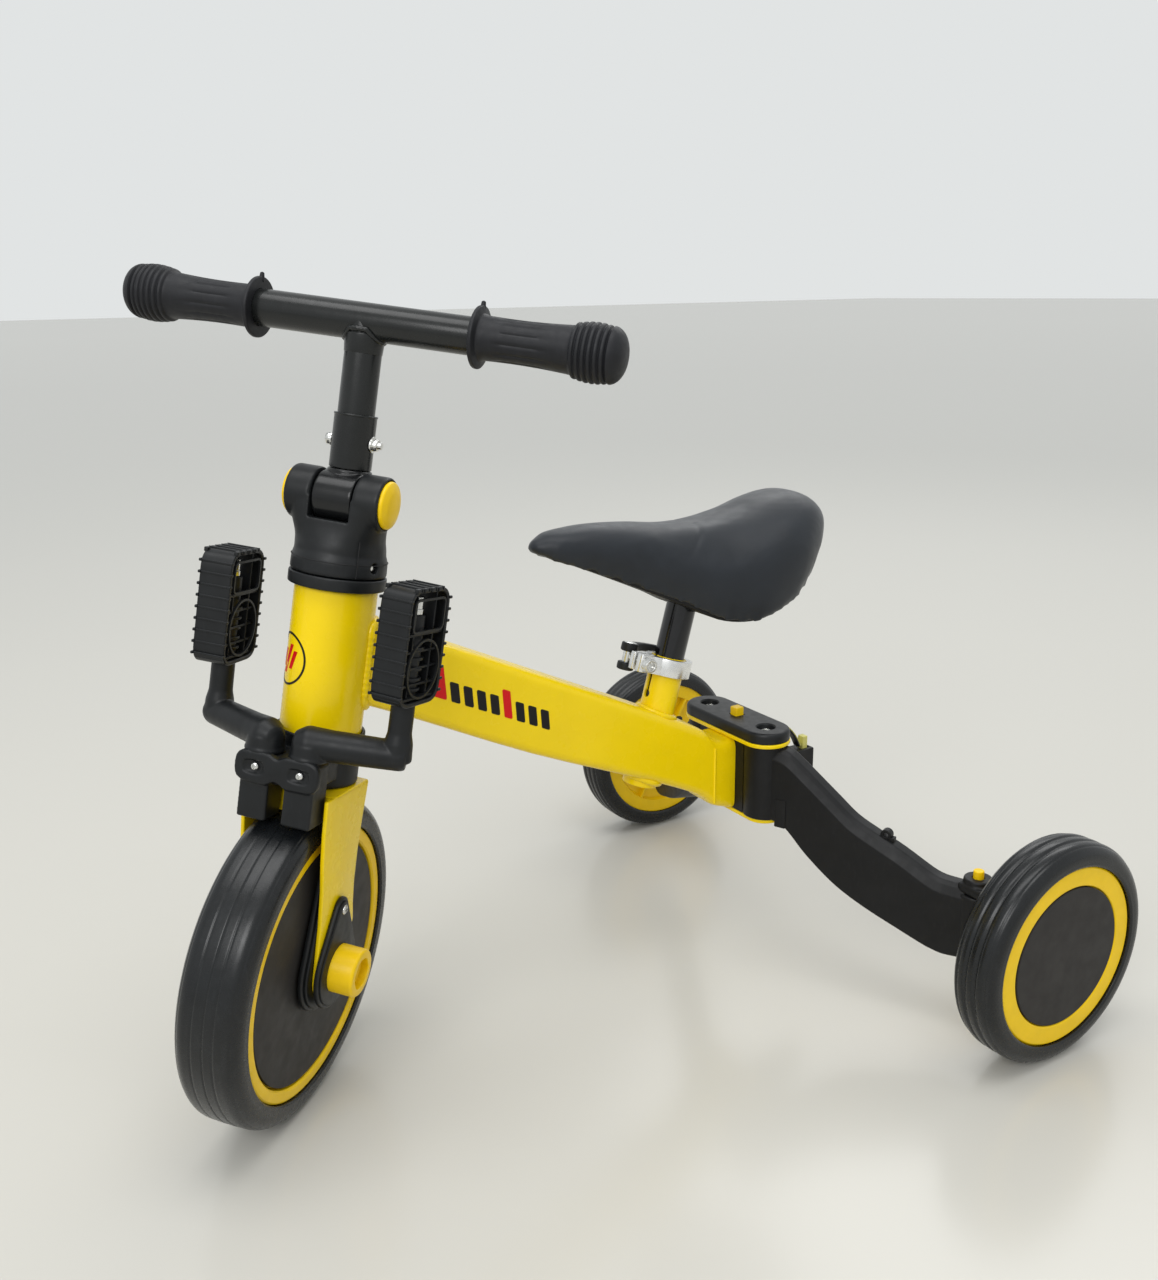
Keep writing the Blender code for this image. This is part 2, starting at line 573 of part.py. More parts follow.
def teardrop(lower_radius, upper_radius, upper_height):
    """The outline of a dropout cover: a large circle round the hub, a small one up the blade."""
    return belt_outline(((WHEEL_LEAD, 0.0, lower_radius), (WHEEL_LEAD + 1.0, upper_height, upper_radius)))


def side_prism(name, outline, low, high, side, parent, finish):
    """An (ahead, up) outline extruded outwards between two distances from the middle."""
    flat = [(x, -z) for x, z in outline]
    near, far = sorted((low * side, high * side))
    return prism(name, flat, near, far, parent, finish, "Y")


def make_fork(steering):
    """Steerer tube, crown plate with its front tab, and the two blades, welded into one."""
    outer = FRONT_HALF_WIDTH + 4.8 + PLATE
    inner = outer - PLATE
    fork = turned("fork", rod(STEERER_RADIUS, CROWN_TOP - PLATE - 2.0, 296.0, 11.0), steering, "yellow_paint")
    crown = prism_mesh(box_outline(-21.0, 34.0, -outer, outer), CROWN_TOP - PLATE, CROWN_TOP)
    tab = prism_mesh(box_outline(31.0, 34.0, -inner + 0.8, inner - 0.8), 119.0, CROWN_TOP - 0.5)
    join(fork, crown, tab)
    flat = [(x, -z) for x, z in blade_outline()]
    for _, side in SIDES:
        near, far = sorted((inner * side, outer * side))
        join(fork, prism_mesh(flat, near, far, "Y"))
    hub_hole = turned_mesh(rod(HUB_RADIUS + 2.5, -60.0, 60.0), "Y", (WHEEL_LEAD, 0.0, 0.0))
    cut(fork, hub_hole)
    for name, side in SIDES:
        cover = side_prism("dropout_cover_" + name, teardrop(30.0, 8.5, 45.0), outer + GAP, outer + 5.2, side,
                           steering, "black_plastic")
        shoe = side_prism("inner_cover_" + name, teardrop(36.0, 19.0, 78.0), 21.0, inner - GAP, side,
                          steering, "black_plastic")
        for piece in (cover, shoe):
            cut(piece, turned_mesh(rod(HUB_RADIUS + GAP, -60.0, 60.0), "Y", (WHEEL_LEAD, 0.0, 0.0)))


def make_pedal_holder(steering):
    """The collar under the head tube with its two crank sockets, and its screws."""
    low = CROWN_TOP + GAP
    high = HEAD_BOTTOM - GAP
    holder = turned("pedal_holder", rod(30.0, low, high, STEERER_RADIUS + GAP), steering, "black_plastic")
    join(holder, prism_mesh(box_outline(20.0, 58.0, -30.0, 30.0, 4.0), 137.0, 163.0))
    for _, side in SIDES:
        y = HOLDER_SOCKET_SIDE * side
        join(holder, prism_mesh(box_outline(37.5, 60.0, y - 12.0, y + 12.0, 2.0), 117.0, 163.5))
    for name, side in SIDES:
        turn = CRANK_BACK_ANGLE[name] * side
        cut(holder, prism_mesh(hexagon(PEG_FLATS + 2 * GAP, turn), 119.0, 180.0,
                               at=(HOLDER_SOCKET_LEAD, HOLDER_SOCKET_SIDE * side, 0.0)))
        screw = [(0.0, 60.3), (3.6, 60.3), (3.2, 62.2), (0.0, 62.6)]
        turned("holder_screw_" + name, screw, steering, "bright_steel", "X",
               (0.0, HOLDER_SOCKET_SIDE * side, 150.0), 16)


def make_crank(name, side, steering):
    """One crank in its socket, with the pedal on its pin."""
    lift = place("crank_axis_" + name, (HOLDER_SOCKET_LEAD, HOLDER_SOCKET_SIDE * side, 0.0), parent=steering)
    back = CRANK_BACK_ANGLE[name]
    reach = Vector((-CRANK_LENGTH * math.sin(back), CRANK_LENGTH * math.cos(back) * side, 0.0))
    peg = prism("crank_" + name, hexagon(PEG_FLATS, back * side), 125.0, CRANK_HEIGHT, lift, "black_plastic")
    bar = 10.5
    dome = [(0.0, -bar), (bar * 0.6, -bar * 0.8), (bar, 0.0), (bar, CRANK_LENGTH),
            (bar * 0.6, CRANK_LENGTH + bar * 0.6), (0.0, CRANK_LENGTH + bar * 0.8)]
    arm = turned_mesh(dome, "Y", steps=20)
    turn = math.atan2(reach.y, reach.x) - math.pi / 2.0
    bmesh.ops.transform(arm, matrix=Matrix.Translation((0, 0, CRANK_HEIGHT)) @ Matrix.Rotation(turn, 4, "Z"),
                        verts=arm.verts)
    pin = [(0.0, CRANK_HEIGHT), (9.0, CRANK_HEIGHT), (8.5, PEDAL_BOTTOM - GAP), (5.0, PEDAL_BOTTOM - GAP),
           (5.0, PEDAL_BOTTOM + PEDAL_LONG - 6.0), (0.0, PEDAL_BOTTOM + PEDAL_LONG - 6.0)]
    join(peg, arm, turned_mesh(pin, at=reach, steps=20))

    spin = place("pedal_axis_" + name, reach, Matrix.Rotation(PEDAL_TURN[name], 4, "Z"), lift)
    wide, thick = PEDAL_WIDE / 2.0, PEDAL_THICK / 2.0
    top = PEDAL_BOTTOM + PEDAL_LONG
    pedal = prism("pedal_" + name, box_outline(-wide, wide, -thick, thick, 4.0), PEDAL_BOTTOM, top, spin,
                  "black_plastic")
    cut(pedal, turned_mesh(rod(5.0 + GAP, PEDAL_BOTTOM - 5.0, top + 5.0), steps=16))
    for low in (-20.0, 9.0):
        cut(pedal, prism_mesh(box_outline(low, low + 11.0, -20.0, 20.0), PEDAL_BOTTOM + 8.0, top - 8.0))


def make_housing(steering):
    """Ring and housing over the head tube; the housing's two ears carry the handlebar's hinge."""
    ring_top = HEAD_TOP + 9.0
    ring = rod(33.8, HEAD_TOP + GAP, ring_top, STEERER_RADIUS + GAP)
    turned("housing_ring", ring, steering, "black_plastic")
    body = [(0.0, ring_top + GAP), (33.2, ring_top + GAP), (33.0, 296.0), (32.0, 304.0), (31.4, 316.0),
            (0.0, 316.0)]
    housing = turned("head_housing", body, steering, "black_plastic")
    ear_inner, ear_outer = 15.6, 34.6
    lead, height = FOLD_AXIS_LEAD, FOLD_AXIS_HEIGHT
    for _, side in SIDES:
        near, far = sorted((ear_inner * side, ear_outer * side))
        ear = turned_mesh(rod(18.8, near, far), "Y", (lead, 0.0, height))
        stem_near, stem_far = sorted(((ear_inner + 0.5) * side, (ear_outer - 3.0) * side))
        stem_outline = box_outline(lead - 17.3, lead + 17.3, stem_near, stem_far)
        stem = prism_mesh(stem_outline, 306.0, height - 4.7)
        join(housing, ear, stem)
    cut(housing, turned_mesh(rod(18.4, 1.0 - ear_inner, ear_inner - 1.0), "Y", (lead, 0.0, height)),
        turned_mesh(rod(STEERER_RADIUS + GAP, 270.0, 300.0)),
        turned_mesh(rod(6.0 + GAP, -50.0, 50.0), "Y", (lead, 0.0, height), 16))
    for _, side in SIDES:
        near, far = sorted((30.0 * side, 40.0 * side))
        cut(housing, turned_mesh(rod(16.3 + GAP, near, far), "Y", (lead, 0.0, height), 22))
    turned("fold_pin", rod(6.0, -29.0, 29.0), steering, "bright_steel", "Y", (lead, 0.0, height), 16)
    for name, side in SIDES:
        cap = place("fold_cap_axis_" + name, (lead, 0.0, height), parent=steering)
        inner = 30.0 + GAP + FOLD_CAP_TRAVEL
        dome = [(0.0, inner * side), (16.3, inner * side), (16.3, 35.2 * side), (14.6, 37.0 * side),
                (9.0, 38.4 * side), (0.0, 39.0 * side)]
        turned("fold_cap_" + name, dome, cap, "yellow_plastic", "Y")


def make_handlebar(steering):
    """Knuckle, sleeve, cross bolt, welded bar and grips, about the fold axis."""
    lead, height = FOLD_AXIS_LEAD, FOLD_AXIS_HEIGHT
    fold = place("fold_axis", (lead, 0.0, height), parent=steering)
    knuckle = turned("fold_knuckle", rod(17.5, -14.2, 14.2), fold, "black_plastic", "Y")
    neck_top = 20.0
    join(knuckle, turned_mesh(rod(14.2, 0.0, neck_top), at=(-lead, 0.0, 0.0)))
    cut(knuckle, turned_mesh(rod(6.0 + GAP, -40.0, 40.0), "Y"))
    sleeve_low = neck_top + GAP
    sleeve_high = SLEEVE_TOP - height
    sleeve = turned("stem_sleeve", rod(14.6, sleeve_low, sleeve_high, BAR_RADIUS + GAP), fold, "black_steel",
                    at=(-lead, 0.0, 0.0))
    bolt_at = (-lead, 0.0, 374.0 - height)
    cut(sleeve, turned_mesh(rod(3.0, -30.0, 30.0), "Y", bolt_at, 16))
    bolt = [(0.0, -19.0), (4.6, -19.0), (4.6, -15.2), (2.6, -15.2), (2.6, 15.0), (5.0, 15.0), (5.0, 18.0),
            (0.0, 18.6)]
    turned("cross_bolt", bolt, fold, "bright_steel", "Y", bolt_at, 16)
    bar_height = BAR_HEIGHT - height
    bar = turned("handlebar", rod(BAR_RADIUS, -BAR_HALF_LENGTH, BAR_HALF_LENGTH), fold, "black_steel", "Y",
                 (-lead, 0.0, bar_height))
    stem = turned_mesh(rod(BAR_RADIUS, sleeve_low + 1.0, bar_height), at=(-lead, 0.0, 0.0))
    join(bar, stem)
    cut(bar, turned_mesh(rod(3.0, -30.0, 30.0), "Y", bolt_at, 16))
    for name, side in SIDES:
        turned("grip_" + name, grip_profile(side), fold, "grip_rubber", "Y", (-lead, 0.0, bar_height), 18)


def grip_profile(side):
    """Section of a grip: inner flange, body, waist and ball end, open towards the middle."""
    bore = BAR_RADIUS + GAP
    profile = [(bore, GRIP_INNER_END), (22.0, GRIP_INNER_END), (22.0, GRIP_INNER_END + 3.0), (16.5, 86.0),
               (17.5, 112.0), (16.0, 138.0)]
    for step in range(6):
        angle = math.radians(140.0 - 140.0 * step / 5.0)
        reach = GRIP_BALL_AT + GRIP_BALL_RADIUS * math.cos(angle)
        profile.append((GRIP_BALL_RADIUS * math.sin(angle), reach))
    profile[-1] = (0.0, GRIP_BALL_AT + GRIP_BALL_RADIUS)
    profile += [(0.0, BAR_HALF_LENGTH + GAP), (bore, BAR_HALF_LENGTH + GAP)]
    return [(r, s * side) for r, s in profile]


# ---- build ---------------------------------------------------------------------------------------
for leftover in list(bpy.data.objects):
    bpy.data.objects.remove(leftover, do_unlink=True)
MATERIALS = make_materials()

root = place("base_frame", (-LENGTH_CENTRE, 0.0, 0.0))
lift = front_wheel_drop() - WHEEL_LEAD * math.sin(RAKE) * math.cos(STEER_ANGLE)
head_at = Vector((-WHEEL_LEAD, 0.0, lift))
rake_turn = Matrix.Rotation(-RAKE, 4, "Y")
head_empty = place("head_axis", head_at, rake_turn, root)
steering_axis = place("steering_axis", rotation=Matrix.Rotation(STEER_ANGLE, 4, "Z"), parent=head_empty)
front_hub = place("front_wheel_axis", (WHEEL_LEAD, 0.0, 0.0), parent=steering_axis)
seat_empty = place("seat_axis", SEAT_FOOT, Matrix.Rotation(-SEAT_LEAN, 4, "Y"), root)

make_frame(root, head_empty, Matrix.Translation(head_at) @ rake_turn)
make_pivot_cover(root)
make_rear_stop(root)
make_seat_tube(seat_empty)
make_seat(seat_empty)
make_fork(steering_axis)
make_pedal_holder(steering_axis)
make_housing(steering_axis)
make_handlebar(steering_axis)
make_front_wheel(front_hub)
for side_name, side_sign in SIDES:
    make_crank(side_name, side_sign, steering_axis)
    make_rear_side(side_name, side_sign, root)
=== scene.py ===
"""The looks of a children's convertible tricycle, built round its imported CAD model.

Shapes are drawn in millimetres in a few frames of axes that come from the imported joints: the leaning steering
axis, the folding handlebar, the hubs, the seat tube and the floor frame. +X is forward, +Y the rider's left.
"""

import json
import math

import bmesh
import bpy
from mathutils import Matrix, Vector, noise


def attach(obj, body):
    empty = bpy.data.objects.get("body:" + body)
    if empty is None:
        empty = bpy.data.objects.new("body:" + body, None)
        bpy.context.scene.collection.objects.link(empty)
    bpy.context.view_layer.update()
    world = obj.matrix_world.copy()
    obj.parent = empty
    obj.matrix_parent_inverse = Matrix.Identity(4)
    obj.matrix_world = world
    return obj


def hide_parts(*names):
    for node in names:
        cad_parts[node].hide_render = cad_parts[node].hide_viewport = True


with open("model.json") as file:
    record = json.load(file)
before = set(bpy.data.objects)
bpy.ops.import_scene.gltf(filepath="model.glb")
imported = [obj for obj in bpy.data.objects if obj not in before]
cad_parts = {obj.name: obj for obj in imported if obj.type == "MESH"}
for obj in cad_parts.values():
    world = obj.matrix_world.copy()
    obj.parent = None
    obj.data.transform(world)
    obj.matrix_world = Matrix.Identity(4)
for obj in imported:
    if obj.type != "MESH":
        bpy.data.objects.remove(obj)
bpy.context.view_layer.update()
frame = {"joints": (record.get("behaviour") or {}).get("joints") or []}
SCENE = bpy.context.scene
SCENE.view_settings.view_transform = "Standard"
MM = 0.001
GAP = 0.3
SIDES = (("left", 1.0), ("right", -1.0))


# ---- frames of axes ----------------------------------------------------------------------------------------
def basis(origin, x_axis, y_axis, z_axis):
    """Axes for shapes in millimetres, at an origin in metres."""
    turn = Matrix((x_axis, y_axis, z_axis)).transposed().to_4x4()
    return Matrix.Translation(origin) @ turn @ Matrix.Scale(MM, 4)


def at(x=0.0, y=0.0, z=0.0):
    """A move in millimetres."""
    return Matrix.Translation((x, y, z))


def spin(degrees, axis="Z"):
    """A turn about a named axis."""
    return Matrix.Rotation(math.radians(degrees), 4, axis)


JOINTS = {joint["name"]: joint for joint in frame["joints"]}


def joint_point(name):
    """Where a joint's axis is, in metres."""
    return Vector(JOINTS[name]["pos_m"])


UP = Vector((0.0, 0.0, 1.0))
ACROSS = Vector((0.0, 1.0, 0.0))
RAKED = Vector(JOINTS["steering"]["axis"]).normalized()
HUB_LINE = Vector(JOINTS["front_wheel_spin"]["axis"]).normalized()
SEAT_LINE = Vector(JOINTS["seat_height"]["axis"]).normalized()
HEAD = basis(joint_point("steering"), ACROSS.cross(RAKED), ACROSS, RAKED)
STEER = basis(joint_point("steering"), HUB_LINE.cross(RAKED), HUB_LINE, RAKED)
FOLD = basis(joint_point("handlebar_fold"), HUB_LINE.cross(RAKED), HUB_LINE, RAKED)
HUB = basis(joint_point("front_wheel_spin"), HUB_LINE.cross(RAKED), HUB_LINE, RAKED)
FLOOR = basis((joint_point("rear_arm_left_fold").x + 0.415, 0.0, 0.0), (1, 0, 0), (0, 1, 0), (0, 0, 1))
CLAMP_HEIGHT = 109.25
LEVER_PIVOT = Vector((28.0, -19.0, CLAMP_HEIGHT))
SEAT_X = ACROSS.cross(SEAT_LINE)
SEAT_FOOT = joint_point("clamp_lever_turn") - basis((0, 0, 0), SEAT_X, ACROSS, SEAT_LINE) @ LEVER_PIVOT
SEAT = basis(SEAT_FOOT, SEAT_X, ACROSS, SEAT_LINE)


# ---- dimensions, in millimetres ----------------------------------------------------------------------------
HEAD_RADIUS, HEAD_BOTTOM, HEAD_TOP = 28.8, 171.2, 274.6
HUB_RADIUS = 17.5
PEG_FLATS = 15.6
WHEEL_LEAD = 5.4
CROWN_TOP = 135.0
BLADE_INNER, BLADE_OUTER = 29.2, 32.2
SOCKET_LEAD, SOCKET_SIDE = 48.0, 16.5
CRANK_LENGTH, CRANK_HEIGHT = 58.0, 174.0
CRANK_BACK = {"left": 15.3, "right": 26.6}
PEDAL_BOTTOM = 211.5
PEDAL_TURN = {"left": -8.6, "right": 4.0}
BAR_RADIUS = 12.65
BAR_UP = 118.2                 # the bar's height over the handlebar's hinge
STEM_BACK = -8.0               # the stem stands behind the hinge
# along the main tube from its front end: (x, top z, depth)
TUBE = ((-40.0, 380.5, 65.5), (-100.0, 352.5, 65.5), (-200.0, 304.5, 67.5), (-300.0, 256.5, 63.0),
        (-350.0, 231.5, 61.0), (-368.0, 221.0, 61.5), (-378.0, 210.6, 60.0), (-398.0, 209.6, 66.0))
TUBE_HALF = 20.0
SEAT_TUBE_RADIUS, SEAT_TUBE_LENGTH = 14.5, 117.0
PIVOT_X, PIVOT_Y = -415.0, 39.0
BOSS_X, BOSS_Y = -489.0, 212.0
BRACKET_TOP, BRACKET_BOTTOM, COVER_TOP = 213.4, 140.5, 223.0


# ---- materials ---------------------------------------------------------------------------------------------
def node(tree, kind, **settings):
    """A shader node with its settings and plain input values."""
    made = tree.nodes.new(kind)
    for key, value in settings.items():
        if key in made.inputs:
            made.inputs[key].default_value = value
        else:
            setattr(made, key, value)
    return made


def noise_of(tree, coordinates, size_mm, detail=3.0, stretch=None):
    """A noise texture whose features are about size_mm across."""
    source = coordinates
    if stretch:
        mapping = node(tree, "ShaderNodeMapping")
        mapping.inputs["Scale"].default_value = stretch
        tree.links.new(coordinates, mapping.inputs["Vector"])
        source = mapping.outputs["Vector"]
    texture = node(tree, "ShaderNodeTexNoise", Scale=1.0 / (size_mm * MM), Detail=detail)
    tree.links.new(source, texture.inputs["Vector"])
    return texture.outputs["Fac"]


def spread(tree, value, low, high, clip=(0.3, 0.7)):
    """A value's middle range stretched onto low to high."""
    ranged = node(tree, "ShaderNodeMapRange")
    ranged.inputs["From Min"].default_value, ranged.inputs["From Max"].default_value = clip
    ranged.inputs["To Min"].default_value, ranged.inputs["To Max"].default_value = low, high
    tree.links.new(value, ranged.inputs["Value"])
    return ranged.outputs["Result"]


def make_finish(name, colour, rough, metallic=0.0, coat=0.0, tint=0.08, cloud=14.0, grain=0.5, bump=0.1,
                depth=0.05, second=None, sheen=0.0, wear=0.0, dust=0.0, specular=0.5):
    """A finish: clouded colour and roughness, a fine grain bump, and perhaps a second bump, wear and dust."""
    made = bpy.data.materials.new(name)
    made.use_nodes = True
    tree = made.node_tree
    shader = tree.nodes["Principled BSDF"]
    place = node(tree, "ShaderNodeTexCoord").outputs["Object"]
    shader.inputs["Metallic"].default_value = metallic
    shader.inputs["Coat Weight"].default_value = coat
    shader.inputs["Coat Roughness"].default_value = 0.12
    shader.inputs["Specular IOR Level"].default_value = specular
    shader.inputs["Sheen Weight"].default_value = sheen
    shader.inputs["Sheen Roughness"].default_value = 0.4
    clouds = noise_of(tree, place, cloud, 4.0)
    dark = tuple(channel * (1.0 - tint) for channel in colour)
    light = tuple(min(1.0, channel * (1.0 + tint)) for channel in colour)
    mix = node(tree, "ShaderNodeMix", data_type="RGBA")
    mix.inputs[6].default_value, mix.inputs[7].default_value = (*dark, 1.0), (*light, 1.0)
    tree.links.new(spread(tree, clouds, 0.0, 1.0), mix.inputs[0])
    tone = mix.outputs[2]
    for amount, pale, size in ((wear, 2.6, 3.0), (dust, 3.5, 26.0)):
        if not amount:
            continue
        marks = noise_of(tree, place, size, 8.0, (1.0, 1.0, 0.35))
        layer = node(tree, "ShaderNodeMix", data_type="RGBA")
        pale_tone = tuple(min(1.0, channel * pale + 0.01) for channel in colour)
        layer.inputs[7].default_value = (*pale_tone, 1.0)
        tree.links.new(spread(tree, marks, 0.0, amount, (0.56, 0.72)), layer.inputs[0])
        tree.links.new(tone, layer.inputs[6])
        tone = layer.outputs[2]
    tree.links.new(tone, shader.inputs["Base Color"])
    shine = noise_of(tree, place, cloud * 0.4, 5.0)
    tree.links.new(spread(tree, shine, rough * 0.88, rough * 1.14), shader.inputs["Roughness"])
    height = noise_of(tree, place, grain, 2.0)
    relief = node(tree, "ShaderNodeBump", Strength=bump, Distance=depth * MM)
    tree.links.new(height, relief.inputs["Height"])
    if second:
        size, strength, deep = second
        cells = node(tree, "ShaderNodeTexVoronoi", Scale=1.0 / (size * MM))
        cells.feature = "DISTANCE_TO_EDGE"
        tree.links.new(place, cells.inputs["Vector"])
        creases = node(tree, "ShaderNodeBump", Strength=strength, Distance=deep * MM)
        tree.links.new(spread(tree, cells.outputs["Distance"], 0.0, 1.0, (0.0, 0.25)),
                       creases.inputs["Height"])
        tree.links.new(relief.outputs["Normal"], creases.inputs["Normal"])
        relief = creases
    tree.links.new(relief.outputs["Normal"], shader.inputs["Normal"])
    return made


FINISH = {
    "paint": make_finish("powder_coat_yellow", (0.88, 0.63, 0.001), 0.27, coat=0.12, specular=0.28,
                         tint=0.03, cloud=40.0, grain=5.0, bump=0.10, depth=0.05),
    "yellow": make_finish("moulded_yellow", (0.86, 0.56, 0.001), 0.36, specular=0.3, tint=0.04, cloud=12.0,
                          grain=0.6, bump=0.1),
    "black": make_finish("moulded_black", (0.0075, 0.0085, 0.0095), 0.42, specular=0.3, tint=0.18,
                         cloud=16.0, grain=0.45, bump=0.22, depth=0.06, wear=0.10),
    "gloss": make_finish("moulded_gloss_black", (0.006, 0.0065, 0.007), 0.24, specular=0.36, tint=0.1,
                         cloud=16.0, grain=1.2, bump=0.08),
    "arm": make_finish("textured_black", (0.006, 0.0062, 0.0068), 0.46, specular=0.26, tint=0.2, cloud=20.0,
                       grain=0.35, bump=0.35, depth=0.08, wear=0.12),
    "disc": make_finish("wheel_cover_grey", (0.024, 0.022, 0.021), 0.5, specular=0.25, tint=0.06, cloud=30.0,
                        grain=0.5, bump=0.15),
    "tyre": make_finish("foam_tyre", (0.006, 0.007, 0.008), 0.27, specular=0.4, tint=0.2, cloud=12.0,
                        grain=0.8, bump=0.25, depth=0.08, wear=0.18, dust=0.15),
    "grip": make_finish("grip_rubber_dark", (0.012, 0.0125, 0.015), 0.5, specular=0.28, tint=0.12,
                        cloud=10.0, grain=0.35, bump=0.3, depth=0.06, wear=0.08),
    "steel": make_finish("satin_black_steel", (0.008, 0.009, 0.009), 0.26, coat=0.1, specular=0.36, tint=0.1,
                         cloud=18.0, grain=3.0, bump=0.08, depth=0.03),
    "post": make_finish("gloss_black_steel", (0.005, 0.005, 0.006), 0.14, coat=0.15, specular=0.4, tint=0.1,
                        cloud=18.0, grain=1.6, bump=0.05),
    "bright": make_finish("zinc_plate", (0.72, 0.72, 0.70), 0.24, metallic=1.0, tint=0.12, cloud=4.0,
                          grain=3.0, bump=0.04, depth=0.02),
    "alloy": make_finish("brushed_aluminium", (0.80, 0.80, 0.79), 0.26, metallic=1.0, tint=0.08, cloud=6.0,
                         grain=3.0, bump=0.03, depth=0.02),
    "cover": make_finish("synthetic_leather", (0.013, 0.016, 0.021), 0.43, specular=0.34, tint=0.1,
                         cloud=30.0, grain=0.5, bump=0.15, depth=0.05, second=(0.9, 0.18, 0.06), sheen=0.12),
    "pale": make_finish("pale_yellow_plastic", (0.62, 0.58, 0.16), 0.4, tint=0.1, cloud=6.0),
    "ink": make_finish("decal_black", (0.006, 0.0055, 0.0055), 0.34, specular=0.25, tint=0.1),
    "red": make_finish("decal_red", (0.60, 0.004, 0.008), 0.34, specular=0.25, tint=0.05),
    # painted shade: a near-black rough finish for thin lines laid along the housing's seam and step, standing
    # in for the shade in those creases
    "crease_shade": make_finish("shadowed_plastic", (0.005, 0.005, 0.006), 0.7, tint=0.1),
}


# ---- shapes: each is (points, faces), in millimetres -------------------------------------------------------
def moved(shape, matrix):
    """A shape after a move or turn."""
    points, faces = shape
    return [matrix @ point for point in points], faces


def skin(loops, wrap=False, close=True, caps=True):
    """Quads between loops of equal length: wrap joins last loop to first, close joins each loop's ends."""
    count = len(loops[0])
    points = [Vector(point) for loop in loops for point in loop]
    faces = []
    pairs = [(index, index + 1) for index in range(len(loops) - 1)]
    if wrap:
        pairs.append((len(loops) - 1, 0))
    for first, second in pairs:
        for index in range(count if close else count - 1):
            after = (index + 1) % count
            faces.append((first * count + index, first * count + after, second * count + after,
                          second * count + index))
    if caps and close and not wrap:
        faces.append(tuple(range(count)))
        faces.append(tuple(range(len(points) - 1, len(points) - count - 1, -1)))
    return points, faces


AXIS_TURN = {"X": spin(90, "Y"), "Y": spin(-90, "X"), "Z": Matrix.Identity(4)}


def turned(profile, axis="Z", place=(0.0, 0.0, 0.0), steps=72, ring=False):
    """A profile of (radius, distance along the axis) spun round; ring also joins its two ends."""
    loops = []
    for step in range(steps):
        angle = math.tau * step / steps
        loops.append([(r * math.cos(angle), r * math.sin(angle), h) for r, h in profile])
    return moved(skin(loops, wrap=True, close=ring), at(*place) @ AXIS_TURN[axis])


def fillet(points, radius, closed=True, steps=4):
    """Points with each corner rounded; a point's own third number replaces the radius."""
    count = len(points)
    rounded = []
    for index, point in enumerate(points):
        here = Vector(point[:2])
        size = point[2] if len(point) > 2 else radius
        if size <= 0.0 or (not closed and index in (0, count - 1)):
            rounded.append((here.x, here.y))
            continue
        before = Vector(points[index - 1][:2]) - here
        after = Vector(points[(index + 1) % count][:2]) - here
        bend = before.angle(after)
        if bend > math.radians(176.0):
            rounded.append((here.x, here.y))
            continue
        reach = min(size / math.tan(bend / 2.0), before.length * 0.48, after.length * 0.48)
        start, end = here + before.normalized() * reach, here + after.normalized() * reach
        for step in range(steps + 1):
            t = step / steps
            spot = start * (1 - t) ** 2 + here * (2 * t * (1 - t)) + end * t ** 2
            rounded.append((spot.x, spot.y))
    return rounded


def rod(radius, low, high, edge=0.8, bore=0.0):
    """The profile of a rod, or a tube, with rounded edges."""
    if bore:
        return fillet([(bore, low), (radius, low), (radius, high), (bore, high)], edge)
    return fillet([(0.0, low), (radius, low), (radius, high), (0.0, high)], edge, closed=False)


def inset(outline, distance):
    """An outline moved inwards by a distance."""
    count = len(outline)
    area = sum(outline[i][0] * outline[(i + 1) % count][1] - outline[(i + 1) % count][0] * outline[i][1]
               for i in range(count))
    turn = 1.0 if area > 0.0 else -1.0
    moved_in = []
    for index, point in enumerate(outline):
        here = Vector(point)
        before = here - Vector(outline[index - 1])
        after = Vector(outline[(index + 1) % count]) - here
        if before.length < 1e-6 or after.length < 1e-6:
            moved_in.append((here.x, here.y))
            continue
        normal = before.orthogonal().normalized() + after.orthogonal().normalized()
        normal = normal.normalized()
        stretch = max(0.5, normal.dot(before.orthogonal().normalized()))
        here += normal * turn * distance / stretch
        moved_in.append((here.x, here.y))
    return moved_in


def slab(outline, low, high, edge=0.8, axis="Z", place=(0.0, 0.0, 0.0), bottom_edge=None, steps=4):
    """An outline made thick, with rounded rims."""
    under = edge if bottom_edge is None else bottom_edge
    loops = []
    for step in range(steps + 1):
        angle = math.radians(90.0 * step / steps)
        loops.append((under * (1 - math.sin(angle)), low + under * (1 - math.cos(angle))))
    for step in range(steps + 1):
        angle = math.radians(90.0 * step / steps)
        loops.append((edge * (1 - math.cos(angle)), high - edge * (1 - math.sin(angle))))
    rings = [[(x, y, z) for x, y in inset(outline, depth)] for depth, z in loops]
    return moved(skin(rings), at(*place) @ AXIS_TURN[axis])


def box_outline(x_low, x_high, y_low, y_high, corner=0.0, steps=6):
    """A rectangle with rounded corners."""
    points = [(x_high, y_high), (x_low, y_high), (x_low, y_low), (x_high, y_low)]
    return fillet(points, corner, steps=steps) if corner else points


def block(x, y, z, corner=1.0, edge=0.6):
    """A box between pairs of limits, with rounded corners and rims."""
    return slab(box_outline(*x, *y, corner), *z, edge)


def belt(circles, steps=24):
    """The outline of a belt round two circles (x, y, radius)."""
    (x1, y1, r1), (x2, y2, r2) = circles
    heading = math.atan2(y2 - y1, x2 - x1)
    lift = math.acos((r1 - r2) / math.hypot(x2 - x1, y2 - y1))
    points = []
    for step in range(steps + 1):
        angle = heading + lift + (math.tau - 2.0 * lift) * step / steps
        points.append((x1 + r1 * math.cos(angle), y1 + r1 * math.sin(angle)))
    for step in range(steps + 1):
        angle = heading - lift + 2.0 * lift * step / steps
        points.append((x2 + r2 * math.cos(angle), y2 + r2 * math.sin(angle)))
    return points


